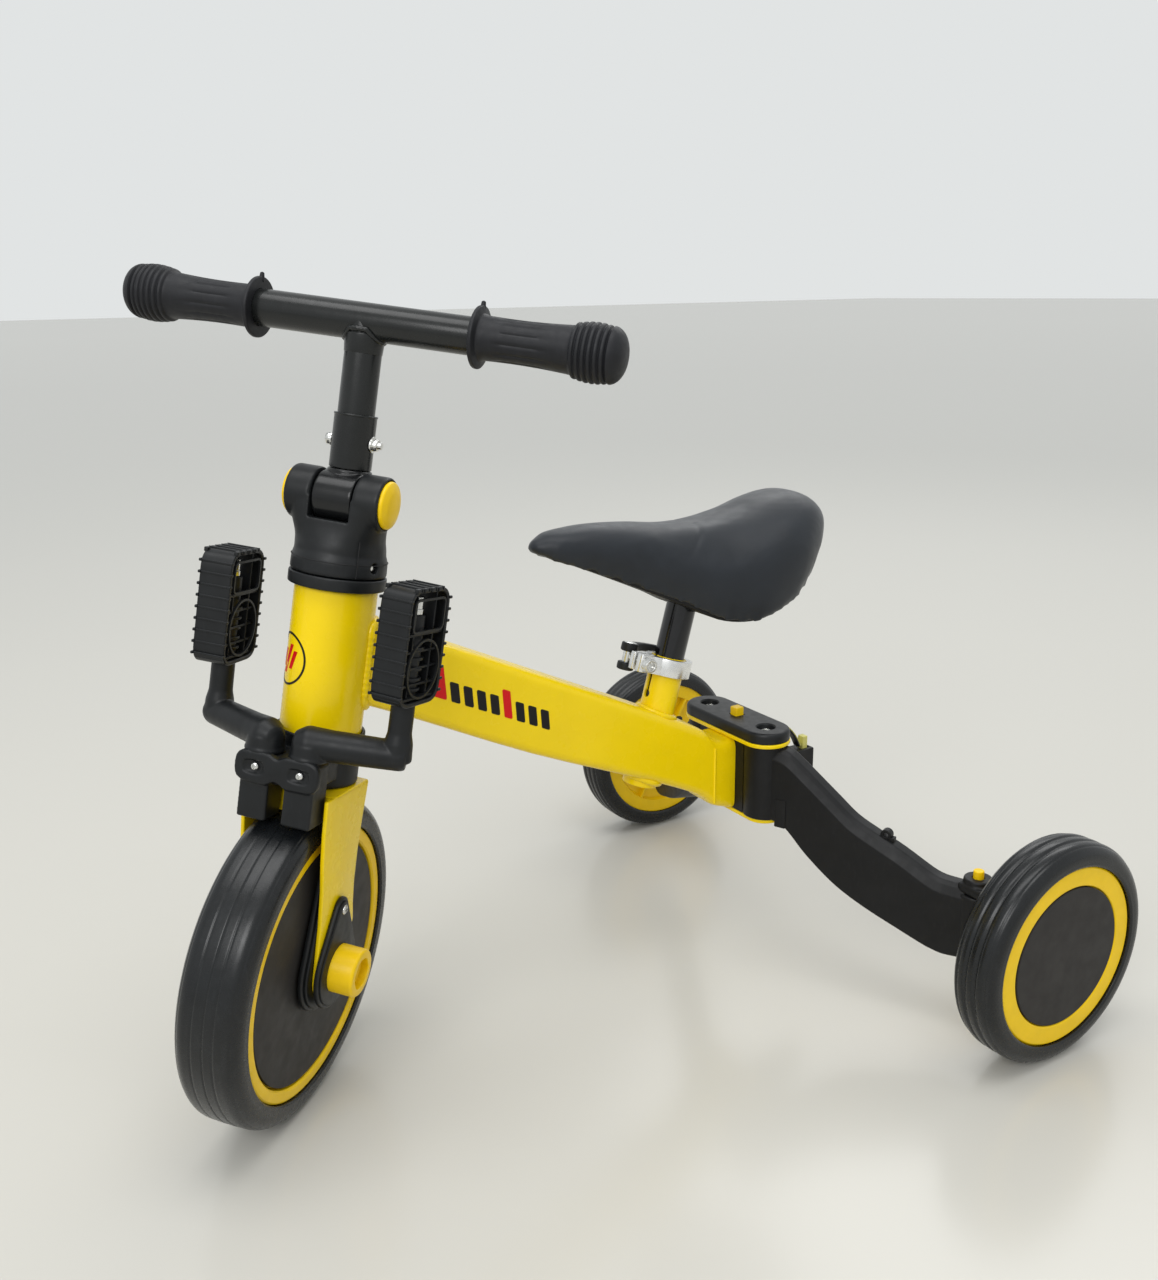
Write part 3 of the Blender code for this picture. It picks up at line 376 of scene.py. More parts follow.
def circle(radius, steps=48, x=0.0, y=0.0):
    """A circle's points."""
    return [(x + radius * math.cos(math.tau * i / steps), y + radius * math.sin(math.tau * i / steps))
            for i in range(steps)]


def hexagon(flats, steps=12, corner=0.1):
    """A hexagon with slightly rounded corners, as evenly spread points that start on +X."""
    points = []
    for index in range(6 * steps):
        angle = math.tau * index / (6 * steps)
        folded = (angle + math.pi / 6.0) % (math.pi / 3.0) - math.pi / 6.0
        reach = flats / 2.0 / math.cos(abs(folded))
        reach = min(reach, flats / 2.0 * (1.0 / math.cos(math.pi / 6.0) - corner))
        points.append((reach * math.cos(angle + math.pi / 6.0), reach * math.sin(angle + math.pi / 6.0)))
    return points


def sweep(path, section, closed=False, up=(0.0, 0.0, 1.0), lumps=None):
    """A section of (across, up) points carried along a path; lumps scales it from point to point."""
    path = [Vector(point) for point in path]
    count = len(path)
    loops = []
    for index, point in enumerate(path):
        ahead = path[(index + 1) % count] if closed or index < count - 1 else point
        behind = path[index - 1] if closed or index > 0 else point
        heading = (ahead - behind).normalized()
        across = heading.cross(Vector(up)).normalized()
        rise = across.cross(heading)
        size = lumps[index] if lumps else 1.0
        loops.append([point + across * u * size + rise * v * size for u, v in section])
    return skin(loops, wrap=closed)


def smooth_path(points, steps=8, closed=False):
    """A Catmull-Rom curve through points of any dimension."""
    points = [Vector(point) for point in points]
    count = len(points)
    spots = []
    for index in range(count if closed else count - 1):
        p1, p2 = points[index], points[(index + 1) % count]
        p0 = points[index - 1] if closed or index > 0 else p1 * 2 - p2
        p3 = points[(index + 2) % count] if closed or index + 2 < count else p2 * 2 - p1
        for step in range(steps):
            t = step / steps
            spots.append((p1 * 2 + (p2 - p0) * t + (p0 * 2 - p1 * 5 + p2 * 4 - p3) * t ** 2
                          + (p1 * 3 - p0 - p2 * 3 + p3) * t ** 3) * 0.5)
    return spots if closed else spots + [points[-1]]


def bead(path, radius, pitch=3.2, closed=True, up=(0.0, 0.0, 1.0), seed=0.0):
    """A lumpy weld bead along a path of points a pitch or less apart."""
    path = [Vector(point) for point in path]
    lumps = []
    length = 0.0
    for index, point in enumerate(path):
        length += (point - path[index - 1]).length if index else 0.0
        ripple = 0.08 * math.cos(math.tau * length / pitch)
        lumps.append(1.0 + ripple + 0.22 * noise.noise(Vector((length * 0.09, seed, 0.0))))
    return sweep(path, circle(radius, 10), closed, up, lumps)


# ---- pieces ------------------------------------------------------------------------------------------------
def piece(name, body, finish, place, shapes, replaces=(), crease=38.0):
    """A visible piece made of shapes, riding on a body."""
    bm = bmesh.new()
    for points, faces in shapes:
        corners = [bm.verts.new(point) for point in points]
        for face in faces:
            bm.faces.new([corners[index] for index in face])
    bmesh.ops.remove_doubles(bm, verts=bm.verts, dist=0.002)
    bmesh.ops.dissolve_degenerate(bm, edges=bm.edges, dist=0.001)
    bmesh.ops.recalc_face_normals(bm, faces=bm.faces)
    bmesh.ops.transform(bm, matrix=place, verts=bm.verts)
    mesh = bpy.data.meshes.new(name)
    bm.to_mesh(mesh)
    bm.free()
    mesh.materials.append(FINISH[finish])
    mesh.shade_smooth()
    mesh.set_sharp_from_angle(angle=math.radians(crease))
    made = bpy.data.objects.new(name, mesh)
    SCENE.collection.objects.link(made)
    if body:
        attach(made, body)
    if replaces:
        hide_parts(*replaces)
    return made


def settle(made):
    """Apply a piece's modifiers to its mesh."""
    depsgraph = bpy.context.evaluated_depsgraph_get()
    mesh = bpy.data.meshes.new_from_object(made.evaluated_get(depsgraph))
    made.modifiers.clear()
    old = made.data
    made.data = mesh
    bpy.data.meshes.remove(old)
    return made


def carve(made, place, cutters, crease=38.0, solver="EXACT"):
    """Cut shapes out of a piece."""
    tools = []
    for index, shape in enumerate(cutters):
        tool = piece(f"{made.name}_cutter_{index}", None, "black", place, [shape])
        step = made.modifiers.new(tool.name, "BOOLEAN")
        step.operation, step.object, step.solver = "DIFFERENCE", tool, solver
        step.use_self = solver == "EXACT"
        tools.append(tool)
    bpy.context.view_layer.update()
    settle(made)
    for tool in tools:
        bpy.data.objects.remove(tool)
    made.data.set_sharp_from_angle(angle=math.radians(crease))
    return made


def meld(made, voxel=0.8, rounds=6, factor=0.5, place=None, cutters=()):
    """Melt a piece's shapes into one moulded skin with soft inner corners."""
    remesh = made.modifiers.new("meld", "REMESH")
    remesh.mode, remesh.voxel_size, remesh.use_smooth_shade = "VOXEL", voxel * MM, True
    settle(made)
    if cutters:
        carve(made, place, cutters, solver="MANIFOLD")
        again = made.modifiers.new("meld", "REMESH")
        again.mode, again.voxel_size, again.use_smooth_shade = "VOXEL", voxel * MM, True
    soften = made.modifiers.new("soften", "SMOOTH")
    soften.iterations, soften.factor = rounds, factor
    settle(made)
    made.data.shade_smooth()
    return made


def screw_head(radius, height, low=0.0):
    """A pan head's profile from its seat."""
    return fillet([(0.0, low), (radius, low), (radius, low + height * 0.45), (radius * 0.62, low + height),
                   (0.0, low + height)], radius * 0.3, closed=False)


def cross_recess(radius, top, axis_place):
    """Two crossed slots that cut a Phillips recess."""
    arm = radius * 0.55
    slot = [(-arm, arm, -0.16 * radius, 0.16 * radius), (-0.16 * radius, 0.16 * radius, -arm, arm)]
    return [moved(slab(box_outline(*limits), top - 1.3, top + 2.0, 0.0), axis_place) for limits in slot]


# ---- wheels ------------------------------------------------------------------------------------------------
def tread(radius, half, lip, grooves, shoulder, side_bulge):
    """A tyre's outer profile from one lip over the tread to the other; grooves are (where, width, depth)."""
    points = []
    steps = 120
    for step in range(steps + 1):
        across = half - 2.0 * half * step / steps
        edge = max(0.0, (abs(across) - (half - shoulder)) / shoulder)
        crown = 1.2 * (across / half) ** 2
        drop = shoulder * (1.0 - math.sqrt(max(0.0, 1.0 - edge ** 2))) if edge < 1.0 else shoulder
        cut = sum(depth * math.exp(-((across - where) / width) ** 2) for where, width, depth in grooves)
        points.append((radius - crown - drop - cut, across))
    side = [(lip + (radius - shoulder - 1.2 - lip) * t, half + side_bulge * math.sin(math.pi * t))
            for t in (0.0, 0.15, 0.3, 0.45, 0.6, 0.75, 0.9)]
    return side + points + [(r, -h) for r, h in reversed(side)]


def make_front_wheel():
    """Tyre, rim with its hub sockets, and the flat covers."""
    grooves = ((8.0, 0.7, 0.45), (0.6, 0.5, 0.5), (-8.0, 0.7, 0.45), (19.6, 0.6, 0.3), (-19.6, 0.6, 0.3))
    half = 24.4
    outer = tread(120.0, half, 102.6, grooves, 11.0, 0.0)
    inner = fillet([(102.6, -half), (101.3, -half + 1.2), (101.3, -half + 5.0), (104.3, -half + 6.0),
                    (104.3, half - 6.0), (101.3, half - 5.0), (101.3, half - 1.2), (102.6, half)], 0.8,
                   closed=False)
    piece("front_tyre_form", "front_wheel", "tyre", HUB,
          [turned(outer + inner[1:-1], "Y", steps=128, ring=True)], ["front_tyre"])
    side = [(HUB_RADIUS + 3.0, 14.0), (40.0, 13.4), (88.0, 13.4), (91.0, 14.0), (91.4, 20.8), (92.6, 22.2),
            (99.2, 22.2), (100.6, 21.4), (101.0, 19.0), (103.8, 15.0)]
    ring = side + [(r, -h) for r, h in reversed(side)]
    ring = fillet(ring, 0.6)
    shapes = [turned(ring, "Y", steps=128, ring=True)]
    for _, side_sign in SIDES:
        shapes.append(hub_socket(side_sign))
    piece("front_rim_form", "front_wheel", "yellow", HUB, shapes, ["front_rim"])
    for name, sign in SIDES:
        near, far = sorted((18.2 * sign, 20.9 * sign))
        disc = rod(89.6, near, far, 0.7, HUB_RADIUS + 0.4)
        piece(f"front_disc_{name}_form", "front_wheel", "disc", HUB,
              [turned(disc, "Y", steps=128, ring=True)], [f"front_disc_{name}"])


def hub_socket(sign):
    """One end of the hub: a round boss with a hexagonal bore."""
    hexagonal = hexagon(PEG_FLATS)
    count = len(hexagonal)
    start = math.pi / 6.0
    loops = []
    for radius, depth in ((17.5, 0.5), (17.5, 53.6), (17.2, 54.8), (16.4, 55.7), (15.2, 56.0), (13.6, 56.0)):
        loops.append([(radius * math.cos(start + math.tau * i / count),
                       radius * math.sin(start + math.tau * i / count), depth) for i in range(count)])
    for scale, depth in ((1.42, 56.0), (1.36, 55.5), (1.32, 50.0), (1.0, 48.0), (1.0, 16.0)):
        loops.append([(x * scale, y * scale, depth) for x, y in hexagonal])
    return moved(skin(loops), AXIS_TURN["Y"] @ Matrix.Diagonal((1.0, 1.0, sign, 1.0)))


def make_rear_wheel(name, sign):
    """Ribbed foam tyre, yellow rim and dark outer cover of one rear wheel."""
    centre = joint_point(f"rear_wheel_{name}_spin")
    place = basis(centre, (1, 0, 0), (0, sign, 0), (0, 0, 1))
    body = f"rear_wheel_{name}"
    half = 19.1
    grooves = ((5.2, 1.6, 1.3), (-3.6, 1.5, 1.2), (-11.6, 1.5, 1.1), (13.6, 0.8, 0.35), (-16.0, 0.8, 0.35))
    outer = tread(90.0, half, 75.0, grooves, 10.0, 0.0)
    inner = fillet([(75.0, -half), (73.2, -half + 1.0), (73.2, -half + 3.0), (75.3, -half + 4.0),
                    (75.3, half - 4.0), (73.2, half - 3.0), (73.2, half - 1.0), (75.0, half)], 0.6,
                    closed=False)
    piece(f"rear_tyre_{name}_form", body, "tyre", place,
          [turned(outer + inner[1:-1], "Y", steps=112, ring=True)], [f"rear_tyre_{name}"])
    face = half - 2.6
    rim = [(5.3, face - 3.6), (56.6, face - 3.6), (57.2, face - 2.8), (57.4, face - 0.4), (58.4, face + 0.2),
           (71.4, face + 0.2), (72.7, face - 0.6), (73.0, face - 2.2), (75.0, face - 3.2), (75.0, 3.0 - face),
           (72.8, -face), (60.0, -face), (58.0, 6.0 - face), (30.0, 7.5 - face), (16.0, 7.0 - face),
           (14.0, -face - 0.6), (5.3, -face - 0.6)]
    shapes = [turned(fillet(rim, 0.6), "Y", steps=112, ring=True)]
    for index in range(6):
        spoke = block((14.0, 60.0), (-1.4, 1.4), (0.0, 8.0), 0.4, 0.4)
        turn = spin(60.0 * index, "Y") @ at(0, -face, 0) @ AXIS_TURN["Y"]
        shapes.append(moved(spoke, turn))
    piece(f"rear_rim_{name}_form", body, "yellow", place, shapes, [f"rear_rim_{name}"])
    cover = fillet([(0.0, face - 3.0), (56.4, face - 3.0), (56.4, face + 0.1), (55.6, face + 0.4),
                    (0.0, face + 0.4)], 0.5, closed=False)
    piece(f"rear_disc_{name}_form", body, "disc", place, [turned(cover, "Y", steps=112)],
          [f"rear_disc_{name}"])


# ---- frame -------------------------------------------------------------------------------------------------
def tube_loops(corner=9.0, steps=8):
    """Upright rounded loops of the main tube, front to rear, eased between their places."""
    loops = []
    for x, top, depth in smooth_path(TUBE, 3):
        outline = box_outline(-TUBE_HALF, TUBE_HALF, top - depth, top, corner, steps)
        loops.append([(x, y, z) for y, z in outline])
    return loops


def head_weld_path():
    """Where the main tube's outline meets the head tube, in the floor frame."""
    to_head = HEAD.inverted() @ FLOOR
    front, top, depth = TUBE[0]
    slope = (TUBE[1][1] - top) / (TUBE[1][0] - front)
    outline = box_outline(-TUBE_HALF, TUBE_HALF, top - depth, top, 9.0, 6)
    dense = []
    for index, point in enumerate(outline):
        after = Vector(outline[(index + 1) % len(outline)])
        here = Vector(point)
        count = max(1, int((after - here).length / 1.2))
        dense += [here.lerp(after, step / count) for step in range(count)]
    path = []
    for y, z in dense:
        start = to_head @ Vector((front, y, z))
        heading = (to_head.to_3x3() @ Vector((-1.0, 0.0, -slope))).normalized()
        across = start.x * heading.x + start.y * heading.y
        flat = heading.x ** 2 + heading.y ** 2
        inside = start.x ** 2 + start.y ** 2 - HEAD_RADIUS ** 2
        far = (-across + math.sqrt(max(0.0, across ** 2 - flat * inside))) / flat
        path.append(to_head.inverted() @ (start + heading * far))
    return path


def tube_at(x):
    """The main tube's top height and depth at a place along it."""
    for (x1, top1, depth1), (x2, top2, depth2) in zip(TUBE, TUBE[1:]):
        if x >= x2:
            break
    share = (x - x1) / (x2 - x1)
    return top1 + (top2 - top1) * share, depth1 + (depth2 - depth1) * share


def tube_top_at(x):
    """Height of the main tube's top at a place along it."""
    return tube_at(x)[0]


def round_weld_path(axis_place, radius, surface, steps=72):
    """A circle round a tube's axis, each point moved along the axis onto a surface(x) height."""
    local = FLOOR.inverted() @ axis_place
    heading = (local.to_3x3() @ Vector((0, 0, 1))).normalized()
    path = []
    for step in range(steps):
        angle = math.tau * step / steps
        point = local @ Vector((radius * math.cos(angle), radius * math.sin(angle), 0.0))
        for _ in range(6):
            point += heading * (surface(point.x) - point.z) / heading.z
        path.append(point)
    return path


def make_head_tube():
    """Head tube with a plain ring badge, and the bush at its top."""
    piece("head_tube_form", "frame", "paint", HEAD,
          [turned(rod(HEAD_RADIUS, HEAD_BOTTOM, HEAD_TOP, 1.2, 24.0), steps=96, ring=True)], ["head_tube"])
    piece("head_bush_form", "frame", "black", HEAD,
          [turned(rod(23.7, HEAD_TOP - 9.0, HEAD_TOP + 0.1, 0.4, 14.4), steps=48, ring=True)], ["head_bush"])
    middle = 222.0

    def wrapped(outline, lift):
        radius = HEAD_RADIUS + lift
        return [(radius * math.cos(u / HEAD_RADIUS), radius * math.sin(u / HEAD_RADIUS), middle + v)
                for u, v in outline]

    outer, inner = circle(18.6, 72), circle(17.0, 72)
    ring = skin([wrapped(outer, 0.2), wrapped(inner, 0.2), wrapped(inner, -0.4), wrapped(outer, -0.4)],
                wrap=True)
    piece("head_badge_ring", "frame", "ink", HEAD, [ring])
    bars = []
    for shift, tall in ((-6.4, 6.5), (0.0, 10.5), (6.4, 6.5)):
        rows = [-tall + 2.0 * tall * step / 12 for step in range(13)]
        side = [(shift + 1.9 + v * 0.35, v) for v in rows]
        other = [(shift - 1.9 + v * 0.35, v) for v in reversed(rows)]
        bars.append(skin([wrapped(side + other, 0.2), wrapped(side + other, -0.4)]))
    piece("head_badge_bars", "frame", "red", HEAD, bars)


def make_main_tube():
    """Main tube with its weld beads and plain slanted stripes."""
    tube = piece("main_tube_form", "frame", "paint", FLOOR, [skin(tube_loops())], ["main_tube"])
    axis_hole = moved(turned(rod(HEAD_RADIUS - 0.3, 100.0, 340.0, 0.0), steps=64), FLOOR.inverted() @ HEAD)
    seat_hole = moved(turned(rod(13.6, -10.0, 140.0, 0.0), steps=60), FLOOR.inverted() @ SEAT)
    carve(tube, FLOOR, [axis_hole, seat_hole])
    rear_x = -376.0
    side_bead = []
    for _, sign in SIDES:
        path = [(rear_x, sign * (TUBE_HALF - 0.2), z) for z in range(155, 206, 1)]
        side_bead.append(bead(path, 1.3, closed=False, up=(1, 0, 0), seed=sign))
    top_path = [(rear_x, y, 209.2) for y in range(-13, 14)]
    side_bead.append(bead(top_path, 1.3, closed=False, up=(1, 0, 0), seed=5.0))
    head = bead(head_weld_path(), 3.3, 4.6, seed=2.0)
    foot = bead(round_weld_path(SEAT, SEAT_TUBE_RADIUS + 1.2, tube_top_at), 2.4, 4.0, seed=3.0)
    under = bead(round_weld_path(SEAT, SEAT_TUBE_RADIUS + 1.4, lambda x: tube_at(x)[0] - tube_at(x)[1]), 2.8,
                 3.6, seed=4.0)
    piece("frame_welds", "frame", "paint", FLOOR, [head, foot, under, *side_bead])
    slope = math.atan2(TUBE[0][1] - TUBE[3][1], TUBE[0][0] - TUBE[3][0])
    stripes = {"red": [], "ink": []}
    for _, sign in SIDES:
        start = 0.0
        for length, tall, colour in ((12.0, 23.0, "red"), *[(8.0, 14.0, "ink")] * 4, (7.6, 20.0, "red"),
                                     *[(8.0, 14.0, "ink")] * 3):
            slant = tall * 0.55
            outline = fillet([(0.0, -7.0), (-length, -7.0), (slant - length, tall - 7.0),
                              (slant, tall - 7.0)], 1.4)
            along = [at(-120.0, 0.0, tube_top_at(-120.0) - 35.0) @ Matrix.Rotation(-slope, 4, "Y")
                     @ Vector((u - start, 0.0, v)) for u, v in outline]
            stripes[colour].append(skin([[(p.x, (TUBE_HALF + lift) * sign, p.z) for p in along]
                                         for lift in (-0.4, 0.18)]))
            start += length + 4.0
    for colour, shapes in stripes.items():
        piece(f"tube_stripes_{colour}", "frame", colour, FLOOR, shapes)


def make_rear_bracket():
    """Bracket plates, pivot cover, bolts, button, stop block and strap."""
    for name, low, end in (("top", BRACKET_TOP - 3.4, 21.0), ("bottom", BRACKET_BOTTOM, 16.7)):
        ends = ((PIVOT_X, -PIVOT_Y, end), (PIVOT_X, PIVOT_Y, end))
        piece(f"bracket_{name}_plate_form", "frame", "paint", FLOOR, [slab(belt(ends), low, low + 3.4, 0.8)],
              [f"bracket_{name}_plate"])
    cover_ends = ((PIVOT_X, -PIVOT_Y, 20.5), (PIVOT_X, PIVOT_Y, 20.5))
    cover = piece("pivot_cover_form", "frame", "black", FLOOR,
                  [slab(belt(cover_ends, 36), BRACKET_TOP + GAP, COVER_TOP, 3.2, bottom_edge=0.5)],
                  ["pivot_cover"])
    holes = [turned(fillet([(0.0, 216.5), (7.6, 216.5), (7.8, COVER_TOP - 1.2), (9.4, COVER_TOP + 0.6),
                            (9.4, 230.0), (0.0, 230.0)], 0.6, closed=False), place=(PIVOT_X, y, 0.0),
                            steps=40)
             for y in (-PIVOT_Y, PIVOT_Y)]
    holes.append(slab(box_outline(PIVOT_X - 5.2, PIVOT_X + 5.2, -5.2, 5.2, 1.2), 216.5, 230.0, 0.0))
    carve(cover, FLOOR, holes)
    heads = []
    for _, sign in SIDES:
        heads.append(turned(screw_head(6.4, 3.6, 216.4), place=(PIVOT_X, PIVOT_Y * sign, 0.0), steps=40))
        heads.append(turned(rod(5.0, BRACKET_BOTTOM - 3.0, 216.4, 0.6), place=(PIVOT_X, PIVOT_Y * sign, 0.0),
                            steps=32))
    bolts = piece("pivot_bolts_form", "frame", "bright", FLOOR, heads,
                  ["pivot_bolt_left", "pivot_bolt_right"])
    recess = []
    for _, sign in SIDES:
        recess += cross_recess(6.4, 220.0, at(PIVOT_X, PIVOT_Y * sign, 0.0) @ spin(25.0))
    carve(bolts, FLOOR, recess)
    piece("lock_button_form", "lock_button", "yellow", FLOOR,
          [slab(box_outline(PIVOT_X - 4.4, PIVOT_X + 4.4, -4.4, 4.4, 1.5), 207.5, COVER_TOP + 7.0, 1.0)],
          ["lock_button"])
    stop = piece("stop_block_form", "frame", "arm", FLOOR,
                 [slab(box_outline(-500.0, -399.5, -8.0, 8.0, 2.0), 150.0, 176.0, 1.2),
                  slab(box_outline(-412.0, -398.3, -31.0, 31.0, 0.6), 144.2, 209.7, 0.6)], ["stop_block"])
    bosses = [turned(rod(18.8, 120.0, 230.0, 0.0), place=(PIVOT_X, PIVOT_Y * sign, 0.0), steps=64)
              for _, sign in SIDES]
    carve(stop, FLOOR, [slab(box_outline(-497.3, -487.7, -4.8, 4.8, 0.8), 164.0, 190.0, 0.0), *bosses])
    piece("strap_plug_form", "frame", "pale", FLOOR,
          [slab(box_outline(-495.5, -489.5, -3.6, 3.6, 1.2), 164.3, 187.0, 1.0)], ["strap_plug"])
    band = {"black": (53.0, 54.6), "pale": (54.7, 55.6)}
    for colour, (inner, outer) in band.items():
        path = []
        for step in range(41):
            angle = math.radians(91.5 + 66.0 * step / 40.0)
            middle = (inner + outer) / 2.0
            path.append((-436.0 + middle * math.cos(angle), 0.0, 158.0 + middle * math.sin(angle)))
        thick = (outer - inner) / 2.0
        section = box_outline(-4.0, 4.0, -thick, thick, thick * 0.8, 3)
        loops = []
        for index, point in enumerate(path):
            angle = math.radians(91.5 + 66.0 * index / 40.0)
            out = Vector((math.cos(angle), 0.0, math.sin(angle)))
            loops.append([Vector(point) + Vector((0, u, 0)) + out * v for u, v in section])
        piece(f"rear_strap_{colour}", "frame", colour, FLOOR, [skin(loops)],
              ["rear_strap"] if colour == "black" else [])


def make_seat_tube():
    """Seat tube with its slot, the aluminium clamp, its bolt and the cam lever."""
    tube = piece("seat_tube_form", "frame", "paint", SEAT,
                 [turned(rod(SEAT_TUBE_RADIUS, 6.0, SEAT_TUBE_LENGTH, 0.7, 12.8), steps=64, ring=True)],
                 ["seat_tube"])
    facing = Matrix(((0, 0, 1, 0), (1, 0, 0, 0), (0, 1, 0, 0), (0, 0, 0, 1)))
    relief = moved(slab(circle(3.4, 24, 0.0, 84.0), 5.0, 20.0, 0.0), facing)
    slot = moved(slab(box_outline(-1.9, 1.9, 85.0, 140.0), 5.0, 20.5, 0.0), facing)
    carve(tube, SEAT, [relief, slot])
    low, high = 102.0, 116.5
    ring = []
    opening = math.asin(1.6 / 18.0)
    for radius in (20.0, 14.9):
        arc = [(radius * math.cos(a), radius * math.sin(a)) for a in
               (opening + (math.tau - 2 * opening) * i / 64 for i in range(65))]
        ring += arc if radius == 20.0 else arc[::-1]
    shapes = [slab(ring, low, high, 0.5)]
    for sign in (1.0, -1.0):
        lug = [(15.0, 1.6 * sign), (34.0, 1.6 * sign, 2.0), (34.0, 9.0 * sign, 4.0), (22.0, 9.0 * sign, 5.0),
               (14.6, 13.0 * sign)]
        shapes.append(slab(fillet(lug if sign > 0 else lug[::-1], 0.5), low, high, 0.5))
    piece("seat_clamp_form", "frame", "alloy", SEAT, shapes, ["seat_clamp"])
    bolt_place = at(28.0, 0.0, CLAMP_HEIGHT)
    barrel = fillet([(0.0, 9.2), (5.6, 9.2), (5.6, 16.4), (3.3, 16.4), (3.3, 12.5), (0.0, 12.5)], 0.7,
                    closed=False)
    shank = rod(2.6, -14.0, 10.0, 0.4)
    piece("clamp_bolt_form", "frame", "bright", SEAT,
          [moved(turned(barrel, "Y", steps=36), bolt_place), moved(turned(shank, "Y", steps=24), bolt_place)],
          ["clamp_bolt"])
    make_lever()


def make_lever():
    """The cam lever: two black cheeks on a bright pin, and a curved handle from the upper one."""
    level = CLAMP_HEIGHT + 7.8
    steps = 24
    path = []
    for step in range(steps + 1):
        angle = math.radians(-34.0 - 96.0 * step / steps)
        radius = 33.0 - 3.6 * (step / steps)
        path.append(Vector((radius * math.cos(angle), radius * math.sin(angle), level)))
    loops = []
    for index, point in enumerate(path):
        share = index / steps
        tall, wide = 3.7 - 0.7 * share, 4.2 - 1.6 * share
        ahead = path[min(steps, index + 1)] - path[max(0, index - 1)]
        across = ahead.normalized().cross(UP)
        outline = fillet([(-wide, -tall), (wide, -tall), (wide, tall), (-wide, tall)], 1.8)
        loops.append([point + across * u + UP * v for u, v in outline])
    x, y, height = LEVER_PIVOT
    cheeks = [turned(rod(7.2, height + low, height + high, 1.2), place=(x, y, 0.0), steps=48)
              for low, high in ((4.4, 11.6), (-11.4, -4.8))]
    lever = piece("clamp_lever_form", "clamp_lever", "black", SEAT, [skin(loops), *cheeks], ["clamp_lever"])
    meld(lever, 0.5, 4)
    pin = [turned(rod(4.2, height - 6.0, height + 6.0, 0.4), place=(x, y, 0.0), steps=36),
           turned(screw_head(5.2, 1.0, height + 11.3), place=(x, y, 0.0), steps=36)]
    piece("clamp_lever_pin", "clamp_lever", "bright", SEAT, pin)


# ---- seat --------------------------------------------------------------------------------------------------
# along the saddle from its nose: (x, half width, lowest z, highest z)
SADDLE_SECTIONS = (
    (-216.0, 10.0, 390.5, 403.5), (-226.0, 19.0, 385.0, 407.5), (-242.0, 24.5, 378.0, 409.0),
    (-262.0, 28.5, 369.0, 409.0), (-298.0, 36.0, 353.0, 404.8), (-333.0, 46.0, 337.0, 400.0),
    (-368.0, 57.0, 320.5, 399.5), (-403.0, 66.0, 319.0, 404.0), (-436.0, 64.0, 333.0, 413.5),
    (-458.0, 55.0, 350.0, 417.4), (-474.0, 43.0, 365.0, 413.5), (-484.5, 29.0, 377.0, 404.5),
)


def saddle_ring(x, wide, low, high, count=64):
    """One cross-section of the padded cover, from the lower edge over the top and back underneath."""
    points = []
    upper = count * 3 // 4
    tall = high - low
    for step in range(upper):
        angle = math.pi * (step / (upper - 1))
        side, rise = math.cos(angle), math.sin(angle)
        across = math.copysign(abs(side) ** 0.82, side) * wide
        up = low + tall * rise ** 0.72
        pull = 1.0 - 0.20 * (1.0 - rise) ** 2
        points.append((x, across * pull, up))
    for step in range(count - upper):
        share = (step + 1) / (count - upper + 1)
        across = -wide * 0.9 * math.cos(math.pi * share)
        lift = 9.0 * math.sin(math.pi * share) * min(1.0, wide / 40.0)
        points.append((x, across * 0.93, low + lift))
    return points


def make_saddle():
    """Padded saddle, swollen a little by cloth simulation, on its plastic base and gloss black post."""
    sections = smooth_path(SADDLE_SECTIONS, 6)
    ends = []
    for section, direction, depth in ((sections[0], 1.0, 6.0), (sections[-1], -1.0, 9.0)):
        x, wide, low, high = section
        middle = low + (high - low) * 0.5
        closing = []
        for step in range(1, 8):
            share = step / 7.0
            size = max(0.03, math.sqrt(1.0 - share ** 2))
            closing.append(saddle_ring(x + direction * depth * share, wide * size,
                                       middle + (low - middle) * size, middle + (high - middle) * size))
        ends.append(closing)
    rings = ends[0][::-1] + [saddle_ring(*section) for section in sections] + ends[1]
    saddle = piece("saddle_pad", "seat", "cover", FLOOR, [skin(rings)], ["saddle"], crease=180.0)
    inflate(saddle, voxel=3.2, pressure=4.0, cap=2.2)
    soften = saddle.modifiers.new("soften", "SMOOTH")
    soften.iterations, soften.factor = 5, 0.5
    finer = saddle.modifiers.new("finer", "SUBSURF")
    finer.levels = finer.render_levels = 1
    settle(saddle)
    to_floor = FLOOR.inverted()
    for vertex in saddle.data.vertices:
        spot = to_floor @ vertex.co
        vertex.co = FLOOR @ (spot + saddle_relief(*spot))
    saddle.data.shade_smooth()
    under = []
    for x, wide, low, high in sections[12:-12]:
        inner = wide * 0.72
        roof = low + 10.0
        outline = fillet([(-inner, roof - 7.0), (inner, roof - 7.0), (inner, roof), (-inner, roof)], 2.0)
        under.append([(x, y, z) for y, z in outline])
    collar = moved(turned(fillet([(12.9, 162.0), (15.2, 162.0), (17.0, 165.0), (24.0, 172.0), (12.9, 172.0)],
                                 1.0),
                          steps=48, ring=True), FLOOR.inverted() @ SEAT)
    piece("saddle_base_form", "seat", "arm", FLOOR, [skin(under), collar], ["saddle_base"])
    piece("seat_post_form", "seat", "post", SEAT,
          [turned(rod(12.5, 35.0, 168.0, 0.6, 10.5), steps=64, ring=True)], ["seat_post"])


